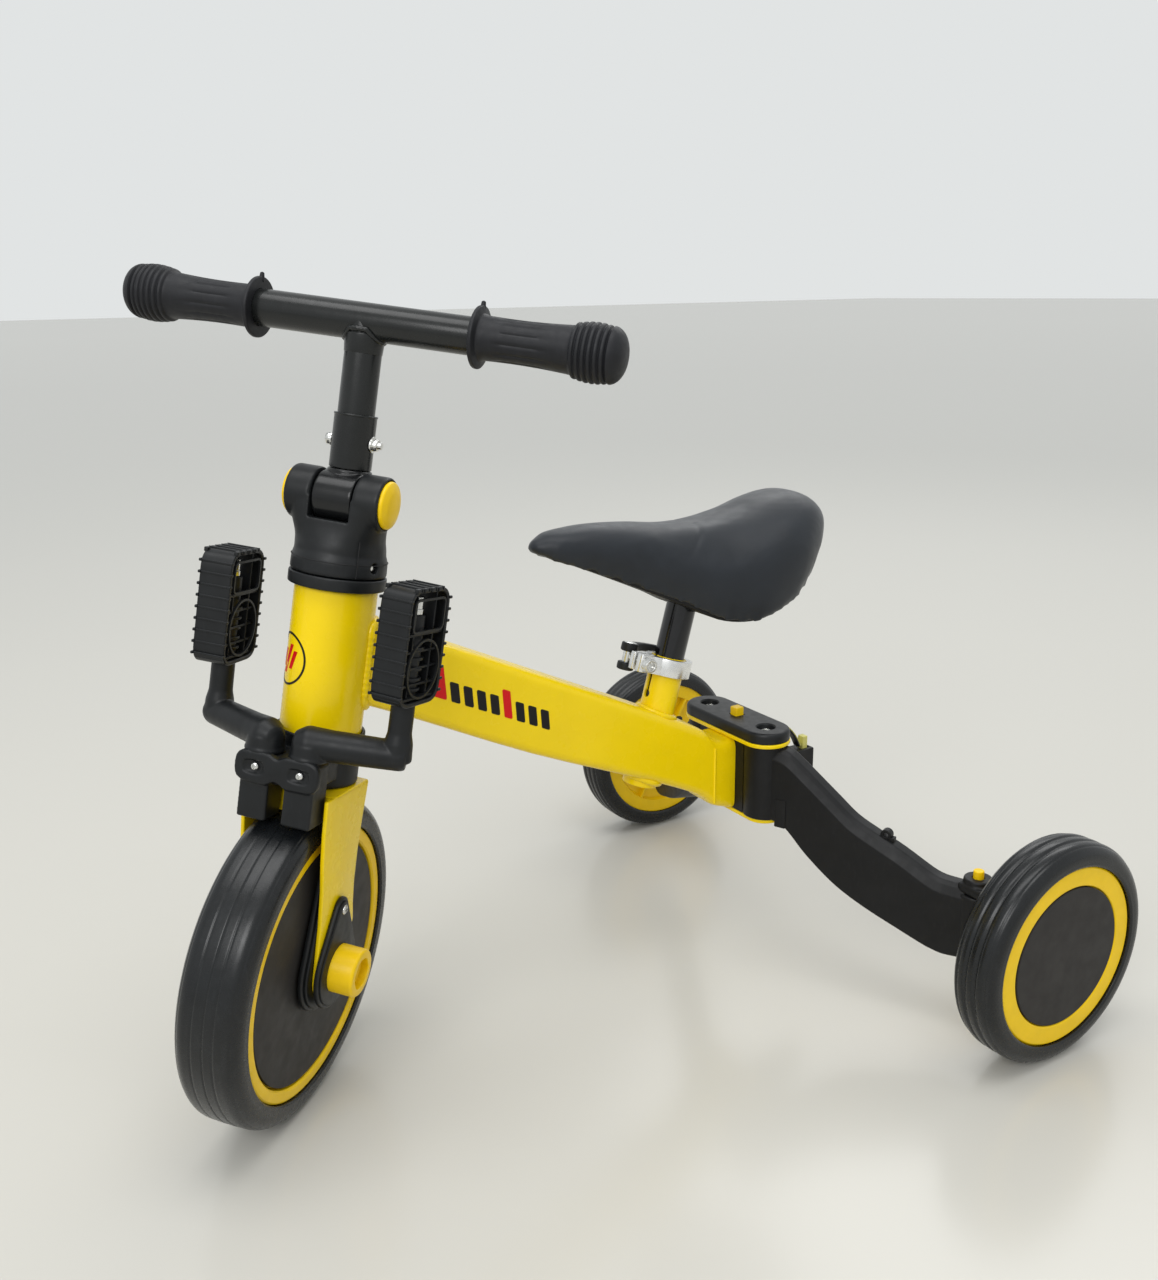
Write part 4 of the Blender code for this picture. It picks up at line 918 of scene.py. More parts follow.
def inflate(made, voxel, pressure, cap, last_frame=16):
    """Swell a closed pad by cloth simulation; no point moves further than cap."""
    remesh = made.modifiers.new("even", "REMESH")
    remesh.mode, remesh.voxel_size = "VOXEL", voxel * MM
    settle(made)
    starts = [vertex.co.copy() for vertex in made.data.vertices]
    cloth = made.modifiers.new("swell", "CLOTH")
    cloth.settings.quality = 6
    cloth.settings.mass = 0.2
    cloth.settings.use_pressure = True
    cloth.settings.uniform_pressure_force = pressure
    cloth.settings.effector_weights.gravity = 0.0
    cloth.point_cache.frame_start, cloth.point_cache.frame_end = 1, last_frame
    for step in range(1, last_frame + 1):
        SCENE.frame_set(step)
    settle(made)
    for vertex, start in zip(made.data.vertices, starts):
        move = vertex.co - start
        if move.length > cap * MM:
            vertex.co = start + move * (cap * MM / move.length)
    SCENE.frame_set(1)


def saddle_relief(x, y, z):
    """Small moves of the saddle's skin: the waist's crease and a gathered lower edge."""
    lower = max(0.0, 1.0 - abs(z - saddle_low(x)) / 9.0)
    gather = 0.35 * lower * math.sin(x * 0.42 + 2.0 * noise.noise(Vector((x * 0.02, 0.0, 4.0))))
    slow = 0.7 * noise.noise(Vector((x, y, z)) * 0.022)
    crease = 0.0
    if y > 10.0 or y < -10.0:
        line = -352.0 - (z - 395.0) * 1.1
        crease = -0.9 * math.exp(-((x - line) / 3.0) ** 2) * math.exp(-((z - 392.0) / 10.0) ** 2)
    out = Vector((0.0, y, (z - 380.0) * 0.6)).normalized() if abs(y) + abs(z - 380.0) > 1e-6 else UP
    return out * (gather + slow + crease)


def saddle_low(x):
    """The saddle's lower edge at a place along it."""
    previous = SADDLE_SECTIONS[0]
    for section in SADDLE_SECTIONS[1:]:
        if x >= section[0]:
            share = (x - previous[0]) / (section[0] - previous[0])
            return previous[2] + (section[2] - previous[2]) * max(0.0, min(1.0, share))
        previous = section
    return previous[2]


# ---- rear arms ---------------------------------------------------------------------------------------------
# along the arm from its pivot: (distance, lowest z, highest z)
ARM_SECTIONS = (
    (4.0, 144.3, 209.0), (14.0, 144.3, 209.0), (24.0, 141.5, 206.5), (32.0, 135.0, 201.5),
    (46.0, 121.0, 191.0),
    (67.0, 104.5, 175.0), (85.0, 94.0, 161.6), (106.0, 85.0, 152.0), (127.0, 77.5, 143.0),
    (150.0, 69.5, 131.5), (160.0, 67.0, 128.2), (168.0, 66.0, 127.6), (181.0, 67.0, 127.4),
)
ARM_HALF = 13.0


def make_rear_side(name, sign):
    """One arm with its boss, carrier, button and axle."""
    reach = Vector((BOSS_X - PIVOT_X, (BOSS_Y - PIVOT_Y) * sign, 0.0))
    along_arm = reach.normalized()
    pivot = joint_point(f"rear_arm_{name}_fold")
    arm_place = basis(pivot, along_arm, UP.cross(along_arm), UP)
    length = reach.length
    sections = smooth_path(ARM_SECTIONS, 4)
    loops = []
    for distance, low, high in sections:
        half = ARM_HALF
        outline = fillet([(half, low, 2.2), (half, high - 9.0, 3.0), (half - 4.5, high - 2.6, 2.5),
                          (half - 8.0, high, 3.5), (8.0 - half, high, 3.5), (4.5 - half, high - 2.6, 2.5),
                          (-half, high - 9.0, 3.0), (-half, low, 2.2)], 2.0)
        loops.append([(distance, y, z) for y, z in outline])
    shapes = [skin(loops), turned(rod(18.4, 144.2, 209.6, 1.2), steps=64),
              turned(rod(15.0, 72.0, 122.0, 2.0), place=(length, 0.0, 0.0), steps=56)]
    hook = turned(rod(4.6, -3.4, 3.4, 0.8, 2.0), "Y", steps=28, ring=True)
    tab_at = 112.0
    shapes.append(moved(hook, at(tab_at, 0.0, 152.0)))
    shapes.append(moved(block((-4.4, 6.0), (-3.2, 3.2), (0.0, 5.0), 1.0, 0.6), at(tab_at + 1.0, 0.0, 145.5)))
    for face in (1.0, -1.0):
        panel = box_outline(17.0, 27.0, 140.0, 165.0, 1.0)
        near, far = sorted(((ARM_HALF - 0.3) * face, (ARM_HALF + 0.5) * face))
        flat = [(x, -z) for x, z in panel]
        shapes.append(slab(flat, near, far, 0.3, "Y"))
    piece(f"rear_arm_{name}_form", f"rear_arm_{name}", "arm", arm_place, shapes, [f"rear_arm_{name}"])

    swivel = joint_point(f"wheel_{name}_swivel")
    place = basis(swivel, (1, 0, 0), (0, sign, 0), (0, 0, 1))
    body = f"wheel_carrier_{name}"
    parts = [turned(rod(9.0, 64.0, 129.0, 0.8), steps=48),
             block((-13.0, 13.0), (-11.0, 25.0), (122.4, 130.0), 5.0, 2.0),
             block((-38.0, 13.0), (18.0, 25.0), (70.0, 130.0), 3.0, 2.0),
             turned(rod(11.4, 126.0, 134.5, 1.6), steps=48)]
    carrier = piece(f"{body}_form", body, "arm", place, parts, [f"wheel_carrier_{name}"])
    meld(carrier, 0.8, 4, place=place,
         cutters=[turned(rod(4.7, 118.0, 140.0, 0.0), steps=32),
                  turned(rod(5.4, 15.0, 40.0, 0.0), "Y", (-24.0, 0.0, 90.0), 32)])
    piece(f"wheel_button_{name}_form", f"wheel_button_{name}", "yellow", place,
          [turned(rod(4.2, 125.6, 140.5, 1.0), steps=36)], [f"wheel_button_{name}"])
    axle_place = at(-24.0, 0.0, 90.0)
    hexed = [(x * 0.52, y * 0.52) for x, y in hexagon(30.0, 6)]
    head = moved(skin([[(x * s, y * s, d) for x, y in hexed] for s, d in
                       ((0.9, 10.2), (1.0, 11.0), (1.0, 16.6), (0.92, 17.4))]), AXIS_TURN["Y"])
    piece(f"rear_axle_{name}_form", body, "bright", place,
          [moved(head, axle_place), moved(turned(rod(5.0, 15.0, 63.0, 0.6), "Y", steps=36), axle_place),
           moved(turned(rod(9.6, 17.4, 18.0, 0.2), "Y", steps=36), axle_place)], [f"rear_axle_{name}"])


# ---- steering ----------------------------------------------------------------------------------------------
def blade_outline():
    """A fork blade seen from the side, as (ahead, up) points."""
    top = CROWN_TOP - 0.5
    outline = [(-22.0, top, 2.0), (-18.6, 106.0, 20.0), (-17.0, 84.0, 20.0), (-17.4, 58.0, 20.0),
               (-20.0, 41.0, 8.0), (-24.0, 25.0, 8.0)]
    for step in range(17):
        angle = math.radians(150.0 + 200.0 * step / 16.0)
        outline.append((WHEEL_LEAD + 25.0 * math.cos(angle), 25.0 * math.sin(angle), 0.0))
    outline += [(32.0, 40.0, 8.0), (35.0, 66.0, 20.0), (39.5, 88.0, 20.0), (42.5, 110.0, 20.0),
                (44.0, top, 2.0)]
    return fillet(outline, 2.0)


def side_slab(outline, low, high, sign, edge=0.8):
    """An (ahead, up) outline made thick outwards from the middle plane."""
    near, far = sorted((low * sign, high * sign))
    return slab([(x, -z) for x, z in outline], near, far, edge, "Y")


def teardrop(lower, upper, height, lead=0.0):
    """A large circle round the hub and a small one up the blade."""
    return belt(((WHEEL_LEAD, 0.0, lower), (WHEEL_LEAD + 1.0 + lead, height, upper)), 30)


def make_fork():
    """Steerer, folded crown, blades, and the covers round the hub."""
    shapes = [turned(rod(14.0, CROWN_TOP - 4.0, 296.0, 0.6), steps=48)]
    crown = [(-21.0, -BLADE_OUTER, 1.5), (34.0, -BLADE_OUTER, 3.0), (34.0, BLADE_OUTER, 3.0),
             (-21.0, BLADE_OUTER, 1.5)]
    shapes.append(slab(fillet(crown, 2.0), CROWN_TOP - 3.0, CROWN_TOP, 0.9))
    tab = fillet([(-28.4, 118.0, 4.0), (28.4, 118.0, 4.0), (28.4, 134.6), (-28.4, 134.6)], 0.8)
    shapes.append(slab([(-z, y) for y, z in tab], 31.0, 34.0, 0.9, "X"))
    for _, sign in SIDES:
        shapes.append(side_slab(blade_outline(), BLADE_INNER, BLADE_OUTER, sign, 0.9))
    fork = piece("fork_form", "steering", "paint", STEER, shapes, ["fork"])
    holes = [turned(rod(20.0, -60.0, 60.0, 0.0), "Y", (WHEEL_LEAD, 0.0, 0.0), 48)]
    for _, sign in SIDES:
        holes.append(turned(rod(2.4, 25.0, 40.0, 0.0), "X", (0.0, 24.0 * sign, 126.0), 24))
    carve(fork, STEER, holes)
    bore = turned(rod(HUB_RADIUS + 0.4, -60.0, 60.0, 0.0), "Y", (WHEEL_LEAD, 0.0, 0.0), 64)
    for name, sign in SIDES:
        outer = [side_slab(teardrop(30.0, 9.0, 45.0), 32.5, 36.2, sign, 1.2),
                 side_slab(teardrop(27.6, 6.8, 44.6), 36.0, 37.4, sign, 1.0)]
        made = piece(f"dropout_cover_{name}_form", "steering", "black", STEER, outer,
                     [f"dropout_cover_{name}"])
        carve(made, STEER, [bore])
        head = turned(screw_head(3.6, 1.5, 37.3), steps=32)
        facing = at(WHEEL_LEAD + 1.0, 0.0, 45.0) @ (AXIS_TURN["Y"] if sign > 0 else spin(90, "X"))
        screw = piece(f"dropout_screw_{name}", "steering", "bright", STEER, [moved(head, facing)])
        carve(screw, STEER, cross_recess(3.6, 38.8, facing))
        layers = [side_slab(teardrop(34.6, 18.4, 78.0), 22.7, 26.6, sign, 1.4),
                  side_slab(teardrop(32.0, 16.4, 76.5), 26.4, 28.9, sign, 1.0)]
        shoe = piece(f"inner_cover_{name}_form", "steering", "black", STEER, layers, [f"inner_cover_{name}"])
        carve(shoe, STEER, [bore])


def make_pedal_holder():
    """Collar under the head tube with its crank sockets and two-lobed front plate."""
    low, high = CROWN_TOP + GAP, HEAD_BOTTOM - GAP
    shapes = [turned(rod(29.8, low, high, 1.2, 15.0), steps=72, ring=True),
              turned(rod(31.6, high - 12.0, high + 2.0, 1.0, 29.2), steps=72, ring=True),
              block((18.0, 57.0), (-25.5, 25.5), (143.0, 162.5), 4.0, 1.5)]
    plate = fillet([(-31.0, 143.0, 9.0), (-7.0, 142.4, 7.0), (0.0, 147.0, 5.0), (7.0, 142.4, 7.0),
                    (31.0, 143.0, 9.0), (31.0, 164.6, 9.0), (6.0, 164.8, 6.0), (0.0, 161.6, 4.0),
                    (-6.0, 164.8, 6.0), (-31.0, 164.6, 9.0)], 5.0)
    shapes.append(slab([(-z, y) for y, z in plate], 55.5, 61.8, 1.6, "X"))
    for _, sign in SIDES:
        y = SOCKET_SIDE * sign
        shapes.append(block((36.8, 59.4), (y - 10.6, y + 10.6), (117.0, 160.0), 1.6, 0.8))
    holder = piece("pedal_holder_form", "steering", "black", STEER, shapes, ["pedal_holder"])
    cutters = []
    for _, sign in SIDES:
        y = SOCKET_SIDE * sign
        dimple = turned([(0.0, -1.0), (0.9, -0.72), (1.0, 0.0), (0.9, 0.72), (0.0, 1.0)], steps=40)
        cutters.append(moved(dimple, at(62.4, y, 153.8) @ Matrix.Diagonal((3.6, 8.4, 5.6, 1.0))))
        cutters.append(slab(box_outline(39.8, 56.4, y - 7.8, y + 7.8, 1.0), 100.0, 130.0, 0.0))
    meld(holder, 0.7, 3, place=STEER, cutters=cutters)
    for name, sign in SIDES:
        facing = at(59.2, SOCKET_SIDE * sign, 153.8) @ AXIS_TURN["X"]
        screw = piece(f"holder_screw_{name}_form", "steering", "bright", STEER,
                      [moved(turned(screw_head(2.9, 2.2), steps=32), facing)], [f"holder_screw_{name}"])
        carve(screw, STEER, cross_recess(2.9, 2.2, facing @ spin(20)))


def make_crank(name, sign):
    """One stored crank: domed over its socket, a fat bar outwards and a pin up to the pedal."""
    back = math.radians(CRANK_BACK[name])
    reach = Vector((-CRANK_LENGTH * math.sin(back), CRANK_LENGTH * math.cos(back) * sign, 0.0))
    turn = math.degrees(math.atan2(reach.y, reach.x)) - 90.0
    place = at(SOCKET_LEAD, SOCKET_SIDE * sign, 0.0)
    bar = fillet([(0.0, -12.6), (7.4, -11.0, 4.0), (12.2, -3.0, 8.0), (11.0, 14.0, 30.0),
                  (10.3, CRANK_LENGTH + 3.0, 3.0), (9.2, CRANK_LENGTH + 6.6, 1.2),
                  (0.0, CRANK_LENGTH + 7.0)], 4.0,
                 closed=False)
    shapes = [moved(turned(bar, "Y", steps=56), at(0, 0, CRANK_HEIGHT) @ spin(turn)),
              turned(fillet([(0.0, 162.9), (13.6, 162.9), (13.7, 165.4, 0.8), (13.0, 166.2, 0.8),
                             (12.6, CRANK_HEIGHT), (0.0, CRANK_HEIGHT + 2.0)], 0.8, closed=False), steps=48),
              moved(turned(fillet([(0.0, -4.0), (10.4, -4.0), (9.8, 9.0), (8.2, 16.0, 8.0), (8.1, 37.2),
                                   (0.0, 37.2)],
                                  2.0, closed=False), steps=56), at(*reach) @ at(0, 0, CRANK_HEIGHT))]
    crank = piece(f"crank_{name}_form", f"crank_{name}", "black", STEER @ place, shapes, [f"crank_{name}"])
    meld(crank, 0.7, 7)
    peg = [(x, y) for x, y in hexagon(15.0, 6)]
    peg = slab(peg, 124.6, 165.0, 0.8)
    pin = turned(rod(5.0, PEDAL_BOTTOM - 2.0, PEDAL_BOTTOM + 72.0, 0.6), place=tuple(reach), steps=36)
    piece(f"crank_{name}_peg", f"crank_{name}", "black", STEER @ place,
          [moved(peg, spin(CRANK_BACK[name] * sign))])
    piece(f"crank_{name}_pin", f"crank_{name}", "bright", STEER @ place, [pin])
    make_pedal(name, STEER @ place @ at(*reach) @ spin(PEDAL_TURN[name]))


def make_pedal(name, place):
    """A pedal body: a ribbed band round an open truss, with an outline ring on each face."""
    wide, thick, tall = 26.0, 11.5, 79.0
    foot = PEDAL_BOTTOM
    band_outer = box_outline(-wide + 1.0, wide - 1.0, foot, foot + tall, 13.0, 10)
    band_inner = inset(band_outer, 2.8)
    loops = []
    for outline, depth in ((band_outer, -thick + 0.6), (inset(band_outer, 0.6), -thick),
                           (inset(band_outer, 2.2), -thick),
                           (band_inner, -thick + 0.6), (band_inner, thick - 0.6),
                           (inset(band_outer, 2.2), thick),
                           (inset(band_outer, 0.6), thick), (band_outer, thick - 0.6)):
        loops.append([(x, depth, z) for x, z in outline])
    shapes = [skin(loops, wrap=True)]
    count = 9
    for index in range(count):
        z = foot + 7.5 + 64.0 * index / (count - 1)
        for side in (-1.0, 1.0):
            rib = block((wide - 2.2, wide - 0.4), (-thick - 0.2, thick + 0.2), (-0.8, 0.8), 0.5, 0.4)
            shapes.append(moved(rib, at(0, 0, z) @ Matrix.Diagonal((side, 1.0, 1.0, 1.0))))
            for face in (-1.0, 1.0):
                tooth = block((wide - 3.0, wide + 0.6), (thick - 1.2, thick + 0.8), (-1.0, 1.0), 0.7, 0.6)
                shapes.append(moved(tooth, at(0, 0, z) @ Matrix.Diagonal((side, face, 1.0, 1.0))))
    for index in range(4):
        x = -13.5 + 9.0 * index
        rib = block((x - 0.8, x + 0.8), (-thick - 0.8, thick + 0.8), (foot + tall - 1.6, foot + tall + 0.9),
                    0.6, 0.5)
        shapes.append(rib)
        for face in (-1.0, 1.0):
            bump = block((x + 2.4, x + 6.8), (thick - 2.0, thick + 0.9),
                         (foot + tall - 2.4, foot + tall + 0.7), 0.8, 0.6)
            shapes.append(moved(bump, Matrix.Diagonal((1.0, face, 1.0, 1.0))))
    shapes.append(turned(rod(7.2, foot + 0.5, foot + 60.0, 0.8, 5.4), steps=36, ring=True))
    for step in range(5):
        shapes.append(turned(rod(9.2, foot + 9.0 + 7.0 * step, foot + 11.0 + 7.0 * step, 0.5, 6.8), steps=36,
                             ring=True))
    for z in (foot + 4.0, foot + 47.5):
        shapes.append(block((-wide + 3.0, wide - 3.0), (-thick + 1.8, thick - 1.8), (z, z + 1.8), 0.4, 0.3))
    for x in (-12.0, 12.0):
        shapes.append(block((x - 0.8, x + 0.8), (-thick + 3.0, thick - 3.0), (foot + 2.0, foot + tall - 2.0),
                            0.4, 0.3))
    window = box_outline(-18.5, 19.5, foot + 50.5, foot + 72.0, 4.5, 6)
    for outline in (window, [(x + 0.5, foot + 25.0 + z) for x, z in circle(19.6, 64)]):
        for face in (-1.0, 1.0):
            path = [(x, (thick - 0.2) * face, z) for x, z in outline]
            shapes.append(sweep(path, [(-0.8, -0.8), (0.8, -0.8), (0.8, 0.8), (-0.8, 0.8)], closed=True,
                                up=(0.0, 1.0, 0.0)))
    for z in (foot + 13.0, foot + 24.2, foot + 35.5):
        shapes.append(block((-wide + 3.0, wide - 3.0), (-thick + 3.4, thick - 3.4), (z, z + 1.6), 0.4, 0.3))
    piece(f"pedal_{name}_form", f"pedal_{name}", "black", place, shapes, [f"pedal_{name}"])
    nut = turned(fillet([(0.0, 0.0), (5.6, 0.0), (5.6, 4.0), (3.4, 4.4), (3.4, 8.0), (0.0, 8.4)], 0.6,
                        closed=False),
                 place=(0.0, 0.0, foot + 60.0), steps=36)
    piece(f"pedal_{name}_nut", f"pedal_{name}", "bright", place, [nut])


def make_housing():
    """Ring, moulded housing with its two ears, hinge pin and domed caps."""
    ring_top = HEAD_TOP + 9.0
    piece("housing_ring_form", "steering", "black", STEER,
          [turned(rod(33.8, HEAD_TOP + GAP, ring_top, 1.3, 14.6), steps=96, ring=True)], ["housing_ring"])
    body = fillet([(0.0, ring_top + 0.5), (32.2, ring_top + 0.5), (33.2, ring_top + 1.6), (33.0, 293.0),
                   (32.4, 296.0, 2.0), (30.4, 302.0), (0.0, 302.0)], 0.8, closed=False)
    shapes = [turned(body, steps=96)]
    for _, sign in SIDES:
        near, far = sorted((15.4 * sign, 34.6 * sign))
        shapes.append(turned(rod(18.8, near, far, 2.2), "Y", (8.0, 0.0, 336.0), 72))
    rings = []
    for z, lead, deep, wide, square in smooth_path(((296.0, 0.0, 31.4, 31.6, 2.0),
                                                    (303.0, 0.8, 30.0, 31.2, 2.1),
                                                    (309.0, 2.6, 26.8, 30.8, 2.3),
                                                    (316.0, 5.2, 22.6, 31.6, 2.8),
                                                    (324.0, 7.4, 19.6, 33.2, 3.6),
                                                    (330.0, 8.0, 18.8, 34.3, 5.0),
                                                    (336.0, 8.0, 18.7, 34.5, 6.0)), 3):
        outline = []
        for step in range(72):
            angle = math.tau * step / 72
            side, rise = math.cos(angle), math.sin(angle)
            reach = (abs(side) ** square + abs(rise) ** square) ** (-1.0 / square)
            outline.append((lead + deep * reach * side, wide * reach * rise, z))
        rings.append(outline)
    shapes.append(skin(rings))
    housing = piece("head_housing_form", "steering", "black", STEER, shapes, ["head_housing"])
    cutters = [turned(rod(18.1, -14.9, 14.9, 0.0), "Y", (8.0, 0.0, 336.0), 72),
               slab(box_outline(-40.0, 60.0, -14.9, 14.9), 321.5, 380.0, 0.0)]
    for _, sign in SIDES:
        near, far = sorted((29.5 * sign, 42.0 * sign))
        cutters.append(turned(rod(16.7, near, far, 0.0), "Y", (8.0, 0.0, 336.0), 64))
    side_hole = turned(rod(3.6, 26.0, 40.0, 0.0), "X", (0.0, 0.0, 292.0), 32)
    cutters.append(moved(side_hole, spin(72.0)))
    meld(housing, 0.7, 5, place=STEER, cutters=cutters)
    screw = moved(turned(screw_head(2.6, 1.6), steps=32), spin(72.0) @ at(28.6, 0.0, 292.0) @ AXIS_TURN["X"])
    piece("housing_screw", "steering", "bright", STEER, [screw])
    # painted shade: thin near-black tubes laid along the housing's seam and round its step stand in for the
    # shade in those creases
    seam = [(33.3 * math.cos(math.radians(46)), 33.3 * math.sin(math.radians(46)), z) for z in range(285,
                                                                                                     311, 5)]
    piece("housing_seam_shade", "steering", "crease_shade", STEER, [sweep(seam, circle(0.35, 8), up=(1.0, 1.0, 0.0))])
    step_line = [(33.12 * math.cos(math.tau * i / 96), 33.12 * math.sin(math.tau * i / 96),
                  294.2) for i in range(96)]
    piece("housing_step_shade", "steering", "crease_shade", STEER, [sweep(step_line, circle(0.3, 8), closed=True)])
    piece("fold_pin_form", "steering", "bright", STEER,
          [turned(rod(6.0, -29.0, 29.0, 0.5), "Y", (8.0, 0.0, 336.0), 36)], ["fold_pin"])
    for name, sign in SIDES:
        near, far = 33.3, 39.4
        dome = fillet([(0.0, near), (16.3, near), (16.3, 36.6, 2.4), (10.0, far - 0.6, 14.0), (0.0, far)],
                      2.0, closed=False, steps=8)
        dome = [(r, h * sign) for r, h in dome]
        piece(f"fold_cap_{name}_form", f"fold_cap_{name}", "yellow", STEER,
              [turned(dome, "Y", (8.0, 0.0, 336.0), 72)], [f"fold_cap_{name}"])


def make_handlebar():
    """Knuckle, sleeve, bolt, welded bar and the rubber grips, all on the hinge."""
    body = "handlebar_assembly"
    barrel = turned(rod(17.4, -14.4, 14.4, 1.4), "Y", steps=72)
    neck = turned(fillet([(0.0, 0.0), (16.4, 0.0), (14.8, 14.0, 8.0), (15.6, 19.6, 2.0), (0.0, 19.6)], 3.0,
                         closed=False), place=(STEM_BACK, 0.0, 0.0), steps=72)
    wings = block((-22.0, 7.0), (-14.3, 14.3), (-2.0, 14.5), 8.0, 5.0)
    knuckle = piece("fold_knuckle_form", body, "gloss", FOLD, [barrel, neck, wings], ["fold_knuckle"])
    meld(knuckle, 0.6, 8)
    sleeve_top = 56.8
    sleeve = fillet([(12.75, 20.0), (14.5, 20.0), (14.5, sleeve_top - 1.6), (14.9, sleeve_top - 1.2),
                     (14.9, sleeve_top), (12.75, sleeve_top)], 0.5)
    piece("stem_sleeve_form", body, "steel", FOLD,
          [turned(sleeve, place=(STEM_BACK, 0, 0), steps=72, ring=True)], ["stem_sleeve"])
    hexed = hexagon(8.2, 6)
    nut = moved(skin([[(x * s, y * s, d) for x, y in hexed] for s, d in
                      ((0.92, 14.6), (1.0, 15.3), (1.0, 18.0), (0.9, 18.8))]), AXIS_TURN["Y"])
    head = moved(skin([[(x * s, y * s, -d) for x, y in hexed] for s, d in
                       ((0.92, 14.6), (1.0, 15.3), (1.0, 18.4), (0.9, 19.2))]), AXIS_TURN["Y"])
    bolt_place = at(STEM_BACK, 0.0, 38.0)
    piece("cross_bolt_form", body, "bright", FOLD,
          [moved(nut, bolt_place), moved(head, bolt_place),
           moved(turned(rod(5.6, 14.0, 15.2, 0.3), "Y", steps=36), bolt_place),
           moved(turned(rod(5.4, -15.2, -14.0, 0.3), "Y", steps=36), bolt_place),
           moved(turned(rod(2.5, 10.0, 21.4, 0.5), "Y", steps=24), bolt_place)], ["cross_bolt"])
    bar = turned(rod(BAR_RADIUS, -150.0, 150.0, 0.6), "Y", (STEM_BACK, 0.0, BAR_UP), 72)
    stem = turned(rod(BAR_RADIUS, 22.0, BAR_UP, 0.4), place=(STEM_BACK, 0.0, 0.0), steps=72)
    weld = []
    for step in range(90):
        angle = math.tau * step / 90
        x, y = BAR_RADIUS * math.cos(angle), BAR_RADIUS * math.sin(angle)
        z = BAR_UP - max(5.6, math.sqrt(max(0.0, BAR_RADIUS ** 2 - x ** 2)))
        weld.append((STEM_BACK + x * 1.04, y * 1.04, z))
    flare = turned(fillet([(12.0, -13.0), (12.9, -13.0), (13.6, -4.0, 6.0), (13.8, 0.0), (12.0, 0.0)], 2.0),
                   place=(STEM_BACK, 0.0, BAR_UP - 8.0), steps=72, ring=True)
    piece("handlebar_form", body, "steel", FOLD, [bar, stem, flare, bead(weld, 1.9, 3.0, seed=7.0)],
          ["handlebar"])
    for name, sign in SIDES:
        make_grip(name, sign, body)


def make_grip(name, sign, body):
    """A rubber grip: flange with a nib, fluted body and a ridged ball end."""
    profile = [(12.8, 79.0)]
    profile += fillet([(13.6, 79.0), (20.4, 79.0, 1.0), (20.6, 81.8, 1.0), (15.4, 83.0, 1.2), (14.6, 86.0)],
                      0.6, closed=False)
    for step in range(28):
        share = step / 27.0
        profile.append((14.5 - 0.5 * math.sin(math.pi * share) + 1.3 * share ** 2, 87.0 + 57.5 * share))
    ball_low, ball_high, ridges = 145.4, 170.0, 6
    for step in range(91):
        share = step / 90.0
        groove = 1.5 * (0.5 + 0.5 * math.cos(math.tau * share * ridges)) ** 2
        profile.append((17.2 + 2.4 * math.sin(math.pi * (0.04 + 0.8 * share)) - groove,
                        ball_low + (ball_high - ball_low) * share))
    for step in range(1, 15):
        angle = math.radians(90.0 * step / 14.0)
        profile.append((18.6 * math.cos(angle) ** 0.85 if step < 14 else 0.0,
                        ball_high + 11.0 * math.sin(angle)))
    profile += [(0.0, 151.0), (12.8, 151.0)]
    steps = 96
    loops = []
    for step in range(steps):
        angle = math.tau * step / steps
        flute = (0.5 - 0.5 * math.cos(angle * 12.0)) ** 6
        loop = []
        for r, h in profile:
            along_body = max(0.0, min(1.0, (h - 92.0) / 8.0)) * max(0.0, min(1.0, (134.0 - h) / 10.0))
            depth = 0.75 * flute * along_body if r > 13.5 else 0.0
            loop.append(((r - depth) * math.cos(angle), (r - depth) * math.sin(angle), h))
        loops.append(loop)
    shape = moved(skin(loops, wrap=True, close=True), AXIS_TURN["Y"] @ Matrix.Diagonal((1.0, 1.0, sign, 1.0)))
    nib = moved(turned(fillet([(0.0, 17.0), (2.2, 17.0), (1.4, 23.0), (0.0, 23.6)], 0.8, closed=False),
                       steps=20),
                at(0.0, 80.4 * sign, 0.0))
    piece(f"grip_{name}_form", body, "grip", FOLD @ at(STEM_BACK, 0.0, BAR_UP), [shape, nib],
          [f"grip_{name}"])


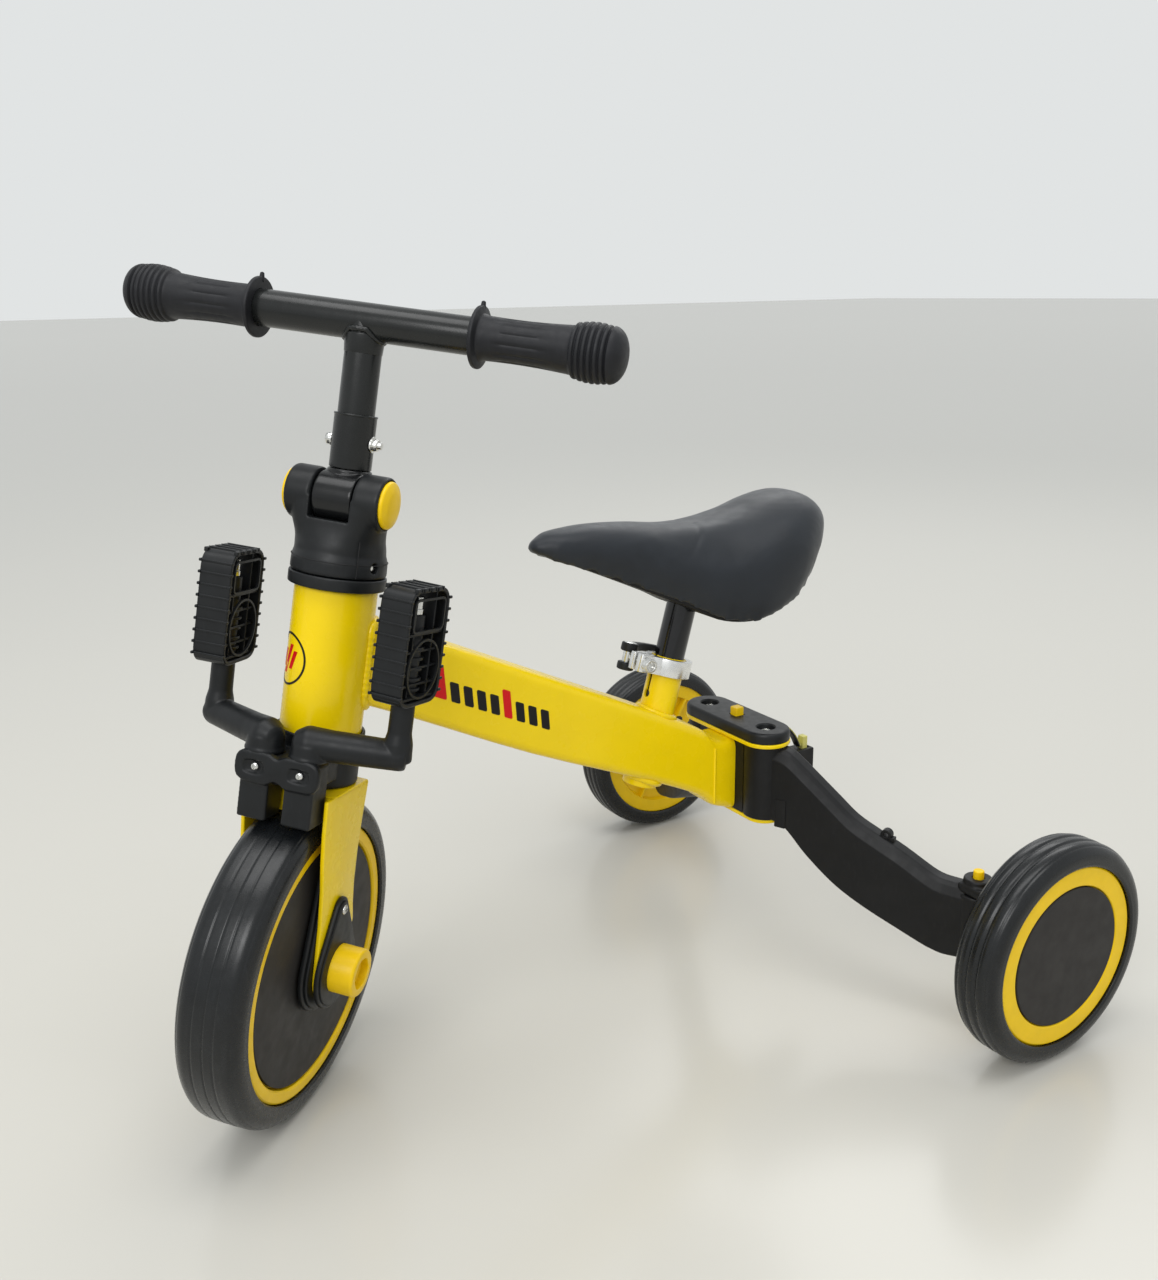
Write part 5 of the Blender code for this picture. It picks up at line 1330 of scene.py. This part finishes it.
# ---- stage -------------------------------------------------------------------------------------------------
def make_stage():
    """A pale floor, a pale surround and soft lamps."""
    bpy.ops.mesh.primitive_plane_add(size=60.0, location=(0.0, 0.0, 0.0))
    floor = bpy.context.object
    floor.name = "studio_floor"
    made = bpy.data.materials.new("pale_floor")
    made.use_nodes = True
    tree = made.node_tree
    shader = tree.nodes["Principled BSDF"]
    shader.inputs["Base Color"].default_value = (0.57, 0.555, 0.51, 1.0)
    shader.inputs["Roughness"].default_value = 0.22
    shader.inputs["Specular IOR Level"].default_value = 0.35
    floor.data.materials.append(made)

    world = bpy.data.worlds.new("surround")
    SCENE.world = world
    world.use_nodes = True
    background = world.node_tree.nodes["Background"]
    background.inputs["Color"].default_value = (0.755, 0.775, 0.775, 1.0)
    background.inputs["Strength"].default_value = 1.0
    for name, place, aim, size, power in (
            ("lamp_top", (0.3, 0.3, 2.6), (0.0, 0.0, 0.2), (2.4, 1.2), 27.0),
            ("lamp_left", (1.9, 1.7, 1.9), (0.0, 0.0, 0.3), (1.6, 1.0), 30.0),
            ("lamp_back", (-1.8, -1.2, 2.0), (0.0, 0.0, 0.3), (1.8, 0.8), 12.0)):
        data = bpy.data.lights.new(name, "AREA")
        data.shape, data.size, data.size_y, data.energy = "RECTANGLE", *size, power
        lamp = bpy.data.objects.new(name, data)
        lamp.location = place
        lamp.rotation_euler = (Vector(aim) - Vector(place)).to_track_quat("-Z", "Y").to_euler()
        SCENE.collection.objects.link(lamp)


def make_camera():
    """The photograph's viewpoint: about 16 degrees above the horizon, from the rider's left front."""
    data = bpy.data.cameras.new("viewpoint")
    data.lens = 34.73
    data.sensor_width = 36.0
    camera = bpy.data.objects.new("viewpoint", data)
    heading, pitch, roll = math.radians(-121.4), math.radians(16.07), math.radians(-0.9)
    ahead = Vector((math.cos(heading) * math.cos(pitch), math.sin(heading) * math.cos(pitch),
                    -math.sin(pitch)))
    right = ahead.cross(UP).normalized()
    upward = right.cross(ahead)
    rolled_right = right * math.cos(roll) + upward * math.sin(roll)
    rolled_up = upward * math.cos(roll) - right * math.sin(roll)
    turn = Matrix((rolled_right, rolled_up, -ahead)).transposed().to_4x4()
    camera.matrix_world = Matrix.Translation((0.4877, 0.8010, 0.5872)) @ turn
    SCENE.collection.objects.link(camera)
    SCENE.camera = camera


make_camera()
make_stage()
make_front_wheel()
make_head_tube()
make_main_tube()
make_rear_bracket()
make_seat_tube()
make_saddle()
make_fork()
make_pedal_holder()
make_housing()
make_handlebar()
for side_name, side_sign in SIDES:
    make_rear_wheel(side_name, side_sign)
    make_rear_side(side_name, side_sign)
    make_crank(side_name, side_sign)
